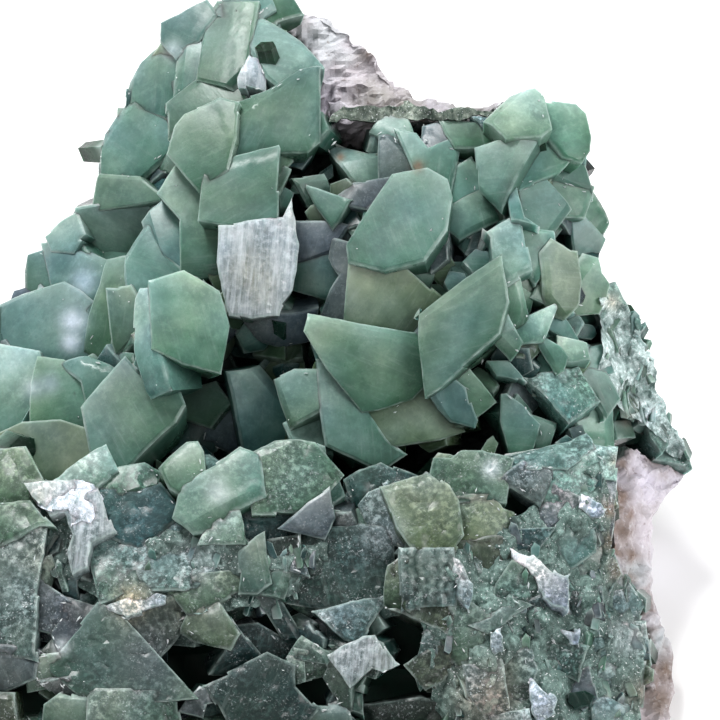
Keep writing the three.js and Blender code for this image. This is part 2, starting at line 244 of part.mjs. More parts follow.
  [5.8, -0.1, -0.3, 2.2, [8.2, -15.4, 8.5, -15.5, 9.9, -16.5, 9.8, -17.5, 8.9, -18, 8.3, -17.5]],
  [6.2, 0, -0.2, 2.2, [6.25, -13.3, 7.1, -12.95, 7.2, -13.6, 7.15, -14.5, 6.45, -14.65]],
  [5.4, -0.1, 0.1, 2.4, [5.1, -9, 6.2, -8.8, 7, -8.9, 7.2, -10.2, 6.6, -10.9, 5.8, -11]],
  [5.8, -0.1, -0.1, 2.4, [7.4, -10, 8.4, -10.8, 8.8, -11.7, 8, -12.1, 6.8, -11.6, 7, -10.6]],
  [6.2, -0.1, -0.2, 2.2, [6.1, -12.6, 7.8, -11.7, 8.4, -12, 7, -12.9]],
  [5.6, 0, 0, 2.2, [7.2, -12.9, 8.6, -12.3, 9.4, -12.5, 9.3, -13.3, 8.2, -14, 7.4, -13.8]],
  [6.2, 0, -0.1, 2.4, [4.8, -12, 5.8, -12.8, 6.2, -13.2, 6.1, -14.6, 5.2, -15, 4.4, -13.6]],
  [6.4, 0, -0.2, 2.4, [5, -15.2, 7, -14.8, 7.3, -16.8, 6.2, -17.8, 5.2, -16.4]],
  [5.8, 0, -0.1, 2.2, [7.2, -14.9, 8.2, -14.4, 8.4, -15.4, 8.1, -17, 7.4, -17.2]],
  [6.6, 0, -0.2, 2.2, [6.2, -17.6, 8.2, -17.3, 8.6, -19, 6.2, -19]],
  [6.2, 0, -0.2, 2.4, [2.1, -15, 3.4, -14.2, 4.3, -13.6, 4.7, -14.9, 4.2, -15.8, 3.2, -16.3]],
  [6, 0, -0.2, 2, [3, -13.3, 3.4, -13, 4.4, -13.4, 3.4, -14.1, 2.9, -14]],
  [6.3, 0, -0.3, 2.2, [2.1, -12.5, 4.1, -12.2, 4.7, -12.7, 4.3, -13.4, 3.3, -13]],
];

// Rows below the edge of the ledge, down towards the foot.
const FOOT_CRYSTALS = [
  [6, 0.2, 0.3, 3, [-19, -18.6, -16, -18.6, -15.5, -21, -18.5, -21.5]],
  [6.4, 0, 0.4, 3, [-15.8, -18.6, -12.5, -18.7, -12, -21.5, -15, -22]],
  [6.6, 0.1, 0.4, 3, [-12.4, -18.7, -8.5, -18.7, -8, -21.5, -11.5, -22.2]],
  [6.6, 0, 0.4, 3, [-8.3, -18.5, -4, -18.5, -3.5, -21.8, -7.5, -22.3]],
  [6.4, -0.1, 0.4, 3, [-3.8, -18.5, 0.2, -18.6, 1, -21.6, -3, -22.2]],
  [6, 0, 0.3, 3, [0.4, -18.7, 4.5, -18.6, 4.8, -21.5, 1.2, -22]],
  [6, -0.1, 0.3, 3, [4.8, -18.8, 8.6, -19, 8.8, -21, 5.2, -21.6]],
  [4.6, -0.2, 0.2, 2.6, [8.8, -18.7, 12.8, -18.7, 12.4, -20.2, 9, -20.6]],
];

// The mass that the crystals of each lobe are rooted in, as corner points in the face frame.
const LEFT_MASS = [
  [
    [-9, 16.2, -7.5], [-6, 17.5, -7.5], [-3.2, 15.6, -6], [-2.4, 11.5, -4], [-3.8, 8, -1.8],
    [-3.6, 4, -1.2], [-6.6, 1, -0.2], [-9.5, 2, 0], [-10.8, -1, -0.2], [-11, 6, -4], [-11, 12, -8],
    [-8, -2.2, -1.2], [-12, 12, -13], [-4, 14, -12], [-8, -1, -10], [-12, 0, -10],
  ],
  [
    [-15.8, 5, -8.5], [-17.2, 2, -7.5], [-20, 0.5, -8.2], [-20.5, -3.5, -7], [-17, -4.6, -3.4],
    [-13.5, -4.6, -1], [-11, -4.4, -0.2], [-10.5, -1, -0.8], [-12.5, 3, -4], [-13.5, 6, -8],
    [-18, 0, -14], [-11, 0, -10], [-18, -5, -11], [-12, -5, -8],
  ],
];
const RIGHT_MASS = [
  [
    [-1.2, 10.5, -4], [2, 11.5, -3.6], [6, 11.5, -3], [8.5, 12, -2.6], [10.5, 11.5, -4.5], [11.2, 8, -5.2],
    [11.3, 5, -4.6], [11.2, 0, -2.4], [12, -3.5, -2.2], [9, -3, -0.4], [7.5, 0, 0], [5, 2, 1],
    [2, 6, -0.4], [-1, 6, -2.2], [-2.4, 4, -2.6], [-1, 0, 0.4], [1, -3.5, 0.4], [4, -3.4, 0.2],
    [-2.6, -2, -0.8], [-5.8, -1, -2], [-5.6, -4, -2], [-2, 10, -9], [10, 10, -10], [10, -3, -9],
    [-5, -3, -8],
  ],
  [
    [12.2, 2.6, -5.8], [13.2, 2.8, -5.8], [13.6, 0, -5.6], [15, -2.4, -6], [15.6, -3.8, -6.6],
    [16.5, -5, -7.2], [12, -3.5, -3.4], [11.5, 1, -3.8], [11, 2, -10], [14, -3, -10], [12, -4, -9],
  ],
];
const FRONT_MASS = [
  [
    [-19.3, -5.5, -0.5], [-15, -6, 1.5], [-9, -5.2, 2.4], [-4, -5, 3], [1, -6, 2.2], [5, -5, 2.4],
    [9.5, -4.8, 1.6], [11.8, -5.2, 0.8], [12.5, -9, 0.8], [12.6, -14, 1.2], [12.5, -18, 2],
    [7, -18.5, 4.8], [-2, -18.5, 4.8], [-10, -18.5, 5], [-19, -18.5, 4.6], [-19.3, -10, 3],
    [-13, -11, 4], [-5, -10, 4], [3, -9, 4.6], [8, -10, 3.8], [9, -21, 3], [-17, -21.5, 3.8],
    [-18, -6, -6], [10, -6, -5], [11, -18, -3], [-18, -18, -2],
  ],
];

// The dark clefts that part the three lobes, as lines on the face.
const UPRIGHT_CLEFT = [
  [-1.75, 25], [-1.75, 12], [-2.25, 10.3], [-3.45, 9.4], [-3.2, 8.2], [-2.93, 5.8], [-2.95, 4.9],
  [-3.05, 3.5], [-2.65, 2.7], [-2.7, 0.7], [-4.2, 0.35], [-5.5, 0.6], [-6.45, 0.3], [-6.7, -0.7],
  [-6.5, -1.8], [-6.3, -3.2], [-6.1, -4.55],
];
const LEVEL_CLEFT_LEFT = [
  [-26, -4.8], [-18.8, -4.45], [-17, -4.55], [-15.6, -5.8], [-14.75, -5.85], [-13.5, -4.75],
  [-12.6, -4.3], [-12, -5.35], [-11.1, -5.1], [-9.9, -4.9], [-8.6, -3.85], [-8, -3.85], [-7.6, -4.6],
  [-6.1, -4.55],
];
const LEVEL_CLEFT_RIGHT = [
  [-6.1, -4.55], [-5.5, -4.65], [-4.1, -4.05], [-2.9, -4.1], [-1.5, -4.6], [-0.7, -5.4], [0.3, -5.25],
  [1.5, -4.85], [3.4, -4.9], [3.55, -4.45], [5, -4.2], [7.2, -4.45], [8.9, -4.15], [9.9, -3.75],
  [11.1, -3.15], [12, -4.35], [13.2, -4.45], [14, -4.4], [15, -5], [16, -5.6], [26, -7],
];

const tilt = THREE.MathUtils.degToRad(FACE_TILT);
const faceToPart = new THREE.Matrix4()
  .makeBasis(
    new THREE.Vector3(1, 0, 0),
    new THREE.Vector3(0, Math.sin(tilt), Math.cos(tilt)),
    new THREE.Vector3(0, -Math.cos(tilt), Math.sin(tilt)),
  )
  .setPosition(0, 0, FACE_HEIGHT);

function onFace(x, y, z) {
  return new THREE.Vector3(x, y, z).applyMatrix4(faceToPart);
}

function onPart(x, y, z) {
  return new THREE.Vector3(x, y, z);
}

// The blocks of the rock. Their tops and right sides are what shows between and beside the crystals.
const ROCK_BLOCKS = [
  [
    onFace(-15, 4, -11.5), onFace(-11, 13, -11), onFace(-7, 16.5, -10.5), onFace(-3.5, 16, -9),
    onFace(6.5, 12.2, -6.5), onFace(10, 11.5, -6.5), onFace(11.2, 7, -8.5), onFace(11.2, 2, -8),
    onFace(11.5, -4, -6), onFace(-3, 0, -6), onFace(-16, -2, -9.5), onPart(12, -2, 0), onPart(13, 6, 0),
    onPart(9, 13, 0), onPart(-3, 16.5, 0), onPart(-13, 12, 0), onPart(-17, 2, 0), onPart(-15, -6, 0),
    onPart(10, -8, 0), onPart(-4, 18, 12), onPart(6, 15, 11), onPart(-13, 14, 8),
  ],
  [
    onFace(-4.6, 18.2, -8.2), onFace(-1.8, 18.1, -8), onFace(-0.2, 16.9, -7.8), onFace(0.6, 16.1, -7.8),
    onFace(0.75, 15.4, -7.6), onFace(1.75, 14.7, -7.2), onFace(1.85, 13.3, -7), onFace(-3.5, 15, -7.5),
    onPart(-5, 18.4, 16), onPart(0, 17.6, 14), onPart(3, 14.5, 14), onPart(-5, 13, 14),
  ],
  [
    onFace(-1.9, 13.5, -5.5), onFace(1.8, 13.3, -5.2), onFace(3.7, 13, -5), onFace(5.85, 13.25, -4.8),
    onFace(7, 13.1, -4.6), onFace(9.5, 12.8, -5.5), onFace(-1.9, 12.2, -4.8), onFace(7, 12.2, -3.8),
    onPart(-2, 13.5, 14), onPart(8, 12, 14), onPart(2, 14.5, 11),
  ],
  [
    onFace(12.8, -4.2, -2.8), onFace(14.5, -4.3, -4.6), onFace(16.9, -5.7, -6.2), onFace(15.6, -6.8, -5.2),
    onFace(14.8, -8, -3.8), onFace(14.8, -10, -3.2), onFace(14.5, -11.3, -2.6), onFace(12.7, -8, 0.4),
    onFace(12.8, -11, 0.6), onFace(9, -6, -3), onPart(15, -6, 0), onPart(15.6, 1, 0), onPart(12, 5, 0),
    onPart(8, -8, 0), onFace(15.5, -5.4, -9),
  ],
  [
    onFace(14.5, -11.3, -2.4), onFace(15, -12.4, -1.8), onFace(15.8, -14.5, -0.8), onFace(15.9, -16, 0.2),
    onFace(15.5, -18, 1.6), onFace(12.9, -11, 0.8), onFace(13.2, -15, 2), onFace(13.4, -18, 3.2),
    onPart(15.4, -11, 0), onPart(14.6, -13, 0), onPart(15, -4, 0), onPart(8, -6, 0), onPart(9, -14.5, 0),
  ],
  [
    onPart(-17, -8, 0), onPart(-12.5, -14.5, 0), onPart(-2, -16, 0), onPart(8, -15.5, 0),
    onPart(14, -12.5, 0), onPart(12, -2, 0), onPart(-14, -2, 0), onFace(-16, -14, -0.5),
    onFace(-8, -16, 1.2), onFace(2, -16, 1.2), onFace(10, -14, 0.4), onFace(10, -5, -2),
    onFace(-4, -6, -2), onFace(-14, -7, -3.5),
  ],
];

function solid(geometry) {
  const bare = geometry.clone();
  bare.deleteAttribute("normal");
  bare.deleteAttribute("uv");
  const welded = mergeVertices(bare, 1e-4);
  return new wasm.Manifold(
    new wasm.Mesh({
      numProp: 3,
      vertProperties: new Float32Array(welded.attributes.position.array),
      triVerts: new Uint32Array(welded.index.array),
    }),
  );
}

function union(solids) {
  return solids.reduce((whole, piece) => whole.add(piece));
}

function largestBody(body) {
  return body.decompose().sort((a, b) => b.volume() - a.volume())[0];
}

// A tapered block whose outer face has the drawn outline, sloped as drawn, with its root pushed inwards.
function crystal([depth, slopeX, slopeY, thickness, outline]) {
  const corners = [];
  for (let i = 0; i < outline.length; i += 2) {
    corners.push(new THREE.Vector2(outline[i], outline[i + 1]));
  }
  const middle = corners.reduce((sum, c) => sum.add(c), new THREE.Vector2()).divideScalar(corners.length);
  const inward = new THREE.Vector3(slopeX, slopeY, -1).normalize().multiplyScalar(thickness);
  const geometry = new THREE.ExtrudeGeometry(new THREE.Shape(corners), { depth: 1, bevelEnabled: false });
  const position = geometry.attributes.position;
  for (let i = 0; i < position.count; i += 1) {
    const isRoot = position.getZ(i) < 0.5;
    const share = isRoot ? ROOT_SHARE : FACE_SHARE;
    const dx = (position.getX(i) - middle.x) * share;
    const dy = (position.getY(i) - middle.y) * share;
    const point = new THREE.Vector3(middle.x + dx, middle.y + dy, depth + slopeX * dx + slopeY * dy);
    if (isRoot) point.add(inward);
    position.setXYZ(i, point.x, point.y, point.z);
  }
  return solid(geometry.applyMatrix4(faceToPart));
}

function mass(corners) {
  return solid(new ConvexGeometry(corners.map(([x, y, z]) => onFace(x, y, z))));
}

// The same block, swollen so that every side lies at least one gap further out.
function swollen(points) {
  const block = new ConvexGeometry(points);
  const centre = new THREE.Vector3();
  points.forEach((point) => centre.addScaledVector(point, 1 / points.length));
  const position = block.attributes.position;
  const triangle = new THREE.Triangle();
  const plane = new THREE.Plane();
  let nearest = Infinity;
  for (let i = 0; i < position.count; i += 3) {
    triangle.setFromAttributeAndIndices(position, i, i + 1, i + 2);
    triangle.getPlane(plane);
    nearest = Math.min(nearest, Math.abs(plane.distanceToPoint(centre)));
  }
  const grow = 1 + GAP / nearest;
  block.translate(-centre.x, -centre.y, -centre.z);
  block.scale(grow, grow, grow);
  block.translate(centre.x, centre.y, centre.z);
  return solid(block);
}

// A prism standing on an outline drawn on the face, right through the specimen.
function prism(outline) {
  const shape = new THREE.Shape(outline.map(([x, y]) => new THREE.Vector2(x, y)));
  const geometry = new THREE.ExtrudeGeometry(shape, { depth: REACH, bevelEnabled: false });
  geometry.translate(0, 0, -REACH / 2);
  return solid(geometry.applyMatrix4(faceToPart));
}

// A wall one gap wide along a cleft, right through the specimen.
function cleftWall(line) {
  const walls = [];
  for (let i = 0; i + 1 < line.length; i += 1) {
    const from = new THREE.Vector2(...line[i]);
    const along = new THREE.Vector2(...line[i + 1]).sub(from);
    const wall = new THREE.BoxGeometry(along.length() + GAP, GAP, REACH);
    wall.rotateZ(along.angle());
    wall.translate(from.x + along.x / 2, from.y + along.y / 2, 0);
    walls.push(solid(wall.applyMatrix4(faceToPart)));
  }
  return union(walls);
}

const junctionToLeft = [...LEVEL_CLEFT_LEFT].reverse();
const rightToJunction = [...LEVEL_CLEFT_RIGHT].reverse();
const upwards = [...UPRIGHT_CLEFT].reverse();
const leftRegion = prism([...UPRIGHT_CLEFT, ...junctionToLeft.slice(1), [-26, 25]]);
const rightRegion = prism([[26, 25], ...rightToJunction, ...upwards.slice(1)]);
const frontRegion = prism([...LEVEL_CLEFT_LEFT, ...LEVEL_CLEFT_RIGHT.slice(1), [26, -30], [-26, -30]]);

const rockRoom = union(ROCK_BLOCKS.map(swollen));
const clefts = union([UPRIGHT_CLEFT, LEVEL_CLEFT_LEFT, LEVEL_CLEFT_RIGHT].map(cleftWall));
const floorBox = new THREE.BoxGeometry(4 * REACH, 4 * REACH, REACH).translate(0, 0, GAP - REACH / 2);
const taken = rockRoom.add(clefts).add(solid(floorBox));

function druse(crystals, masses, region) {
  const grown = union([...masses.map(mass), ...crystals.map(crystal)]);
  return largestBody(grown.intersect(region).subtract(taken)).asOriginal().simplify(SLIVER);
}

const pieces = [
  {
    name: "matrix",
    body: union(ROCK_BLOCKS.map((points) => solid(new ConvexGeometry(points)))),
    material: { color: 0xb9b0b2, roughness: 0.9, metalness: 0 },
  },
  {
    name: "left_druse",
    body: druse(LEFT_CRYSTALS, LEFT_MASS, leftRegion),
    material: { color: 0x76968a, roughness: 0.35, metalness: 0 },
  },
  {
    name: "right_druse",
    body: druse(RIGHT_CRYSTALS, RIGHT_MASS, rightRegion),
    material: { color: 0x6f8e84, roughness: 0.35, metalness: 0 },
  },
  {
    name: "front_druse",
    body: druse([...FRONT_CRYSTALS, ...FOOT_CRYSTALS], FRONT_MASS, frontRegion),
    material: { color: 0x67837d, roughness: 0.35, metalness: 0 },
  },
];

const specimen = new THREE.Group();
specimen.name = "heulandite_specimen";
for (const { name, body, material } of pieces) {
  const mesh = body.getMesh();
  const geometry = new THREE.BufferGeometry();
  geometry.setAttribute("position", new THREE.BufferAttribute(mesh.vertProperties, 3));
  geometry.setIndex(new THREE.BufferAttribute(mesh.triVerts, 1));
  const piece = new THREE.Mesh(geometry, new THREE.MeshStandardMaterial(material));
  piece.name = name;
  specimen.add(piece);
}

// The origin lies under the middle of the specimen, on its flat underside.
const box = new THREE.Box3().setFromObject(specimen);
const middle = box.getCenter(new THREE.Vector3());
for (const piece of specimen.children) {
  piece.geometry.translate(-middle.x, -middle.y, -box.min.z);
}

export default specimen;
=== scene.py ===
"""Heulandite specimen: lobes of grey-green crystals on a loose piece of pale rock."""

import math
import random

import bpy
import numpy as np
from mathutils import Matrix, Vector, noise
from mathutils.geometry import delaunay_2d_cdt


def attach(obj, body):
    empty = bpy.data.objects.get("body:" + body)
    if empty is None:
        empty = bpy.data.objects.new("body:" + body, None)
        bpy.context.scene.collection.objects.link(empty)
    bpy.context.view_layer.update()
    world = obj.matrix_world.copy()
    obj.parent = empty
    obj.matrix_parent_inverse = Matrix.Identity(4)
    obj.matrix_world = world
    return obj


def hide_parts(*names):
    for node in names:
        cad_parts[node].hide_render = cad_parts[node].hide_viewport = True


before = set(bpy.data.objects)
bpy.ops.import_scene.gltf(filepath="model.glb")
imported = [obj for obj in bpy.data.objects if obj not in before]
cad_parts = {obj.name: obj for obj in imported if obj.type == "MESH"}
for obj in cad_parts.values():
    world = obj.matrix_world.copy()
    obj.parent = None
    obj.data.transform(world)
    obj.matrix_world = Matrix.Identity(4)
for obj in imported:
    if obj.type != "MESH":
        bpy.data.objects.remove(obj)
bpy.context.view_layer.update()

MM = 0.001

# The crystal face has its own frame: x to the right, y up the face, z out of it, in millimetres.
FACE_TILT = math.radians(40)
FACE_HEIGHT = 14.0
FACE_SHIFT = (2.272, 0.245)
SIN, COS = math.sin(FACE_TILT), math.cos(FACE_TILT)

# Each crystal: look, depth of its outer face, slope of that face along x and y, thickness, outline.
LEFT_CRYSTALS = (
    ("b", -6.5, 0.5, -0.5, 3, (-10.2, 17.2, -9.2, 17.6, -8.2, 18.2, -7.6, 17.3, -8.4, 16, -9.4, 15.3,
      -10.2, 16.2)),
    ("b", -7, 0.6, -0.3, 3, (-11.3, 15.3, -10.3, 16.2, -9.3, 15.1, -9.6, 13.4, -10.6, 12.5, -12.2, 13,
      -12, 14.3)),
    ("b", -6.5, 0.5, -0.3, 3, (-13.2, 11.6, -12.2, 13.1, -10.5, 12.6, -9.7, 12, -9.6, 10.4, -11, 9.2,
      -13.3, 9.6)),
    ("g", -5.5, 0.5, -0.1, 3, (-13.5, 9.5, -11.2, 9.3, -10.2, 8.5, -10.4, 8, -13, 7.6, -13.8, 7.8)),
    ("b", -5.3, 0.3, -0.4, 2.5, (-9.4, 15.2, -8.3, 16.1, -7.8, 14.5, -8.4, 13.6, -9.6, 13.4)),
    ("g", -4, 0.3, -0.4, 2.5, (-8.3, 14.3, -6.6, 13.9, -6.3, 13.2, -7.2, 13.2, -8.6, 12.6, -9.5, 12,
      -9.6, 13.3)),
    ("b", -6.6, 0.1, -0.7, 3, (-7.6, 17.8, -6.6, 19.2, -5, 19.5, -4.3, 18, -5.2, 17.3, -6.6, 17.5)),
    ("g", -6.8, -0.2, -0.6, 2.6, (-5, 18.6, -3.6, 18.9, -2.8, 17.6, -4.1, 17.1, -5.1, 17.4)),
    ("g", -5, 0.35, -0.6, 3, (-8, 16.3, -7.3, 17.4, -6.9, 18.3, -5.2, 18.3, -5.6, 15.5, -6.2, 14.2,
      -6.6, 13.8, -8.3, 14.2)),
    ("p", -4.5, 0, -0.7, 2.6, (-5.7, 16.6, -4.2, 17.1, -3, 16.3, -2, 15.1, -3.7, 14.2, -4.7, 15)),
    ("w", -3.4, 0.2, -0.5, 2, (-6.2, 14.1, -5.6, 15.4, -4.9, 15.2, -4.7, 14.4, -4.75, 13.6, -6.1, 13.5)),
    ("g", -1.8, -0.05, -0.35, 3.4, (-6.2, 13.3, -4.6, 13.7, -3, 14.8, -1.95, 14.9, -1.95, 11, -2.6,
      10.4, -4, 10.6, -6, 10.6)),
    ("g", -1, 0.25, -0.35, 3.4, (-9.4, 10.3, -8.9, 12, -8.5, 12.5, -7.2, 13.1, -6.3, 12.9, -6.3, 11,
      -6.6, 9.5, -7.9, 8.5)),
    ("g", 0.3, 0.1, -0.3, 3.2, (-8.1, 7, -7.9, 9, -6.4, 10.1, -4.4, 10.6, -4, 9.8, -4.05, 7.8, -4.5,
      7.1, -7, 6.8)),
    ("w", 1.3, 0.02, -0.15, 3, (-7.1, 6.7, -5, 7.05, -3.9, 7.2, -3.4, 8.2, -3, 5.8, -3.05, 4.9, -3.3,
      3.5, -4, 2.2, -5.4, 2, -6.6, 2.1, -7.2, 4.8)),
    ("g", -1.2, 0.1, -0.2, 3, (-10.2, 8.4, -9.5, 9.6, -8, 8.5, -8.1, 7, -7.3, 6.7, -7.3, 5, -9, 4.5, -9,
      7)),
    ("g", -6.3, 0.15, 0.2, 2, (-14.1, 7.4, -12, 7.8, -10.4, 8, -11, 7, -11.8, 5.4, -12.9, 5.2, -13.4,
      5.3, -14, 6.2)),
    ("p", -6.5, 0.6, -0.3, 2.6, (-16.1, 6.3, -15.3, 7.1, -14.4, 7.6, -14, 6.5, -14.5, 5.7, -15.9, 5.8)),
    ("b", -5.6, 0.5, -0.35, 2.6, (-15.8, 5.4, -14.2, 5.5, -13.4, 5.1, -13.05, 4.4, -13.5, 3.2, -14.9, 4,
      -15.4, 4)),
    ("b", -7, 0.7, -0.3, 2.6, (-17.2, 3.6, -17.2, 4.6, -17, 5.4, -16.2, 5.7, -15.8, 5.5, -15.5, 4, -16,
      3.8)),
    ("b", -5, 0.45, -0.35, 3.2, (-18.6, 2.9, -17.3, 3.4, -15.2, 3.85, -14.4, 3.4, -13.7, 2.8, -14, 0.3,
      -15, 0.1, -16.2, 0.2, -18.6, 1.8)),
    ("g", -2.8, 0.5, -0.1, 3, (-13, 5, -11.8, 5.2, -12, 3.8, -12.8, 1.5, -13.2, 0.2, -13.9, 0.4, -13.6,
      2.2, -13.1, 3.8)),
    ("g", -1.2, 0.35, 0, 3, (-12.8, 3.6, -11.9, 3.7, -11.4, 3, -11.4, 1, -12.3, 0.1, -12.5, 0.8)),
    ("g", -1.6, 0.3, -0.3, 3, (-11.9, 5.3, -11, 6.8, -10, 5, -9.3, 4.5, -10.2, 4, -11.2, 3.5, -11.8, 3.9)),
    ("b", -2, 0.1, -0.4, 3, (-11, 7, -9.8, 8, -9, 6.9, -9.1, 4.3, -10.6, 5.7)),
    ("g", 2.4, -0.12, -0.15, 3.6, (-10.1, 3.55, -8.1, 4.15, -7, 3.5, -6.5, 1.7, -6.9, -0.65, -8.8, -0.2,
      -9.95, 0.35)),
    ("p", 2.25, 0.75, -0.1, 3, (-11.35, 2.8, -11.1, 3.5, -10.1, 3.55, -9.95, 0.35, -9.75, -1.35, -10.8,
      -1.8, -11.25, 0.4)),
    ("p", -4.5, 0.5, -0.2, 3, (-19.5, 0.6, -17, 0.2, -16.5, -1, -16.7, -3.05, -19.5, -3.9)),
    ("g", -2.2, 0.3, -0.2, 3, (-16.2, 0.1, -15.5, 0, -14, -1.1, -13.9, -2.2, -14, -3.3, -16.6, -3,
      -16.5, -1.2)),
    ("g", -1.5, 0.2, -0.3, 2.6, (-14, 0.2, -13.2, 0, -12.3, -0.3, -13.8, -2, -14, -1.1, -15.4, 0)),
    ("y", -0.8, 0.25, -0.15, 3.2, (-18.8, -4, -16.6, -3.1, -15, -3, -14, -3.3, -13.4, -4.4, -14.7, -5.7,
      -15.5, -5.6, -17, -4.4)),
    ("g", 1.6, 0.1, -0.3, 3.4, (-13.7, -2.1, -12.2, -0.35, -10.9, -1.9, -9, -1.4, -8.7, -2.25, -9.1, -3,
      -10.05, -3.9, -11.1, -5, -11.95, -5.25, -12.6, -4.2, -13.25, -4.3)),
    ("b", -6.5, 0.7, -0.3, 3, (-21, 1.8, -18.6, 2.9, -18.4, 0.6, -19.6, 0.5, -21.2, 0.2)),
    ("g", -6, 0.6, -0.2, 3, (-21.5, 0, -19.4, 0.5, -19.2, -3.6, -21.2, -3)),
    ("g", -3.5, 0.5, -0.3, 3, (-21, -3.2, -18.7, -4, -18.4, -4.4, -20.8, -4.6)),
    ("v", -1, 0, 0.5, 2, (-6, 1.8, -4.9, 2.1, -3.6, 2.2, -2.75, 2.4, -2.8, 0.8, -4, 0.6, -5.3, 0.9)),
)

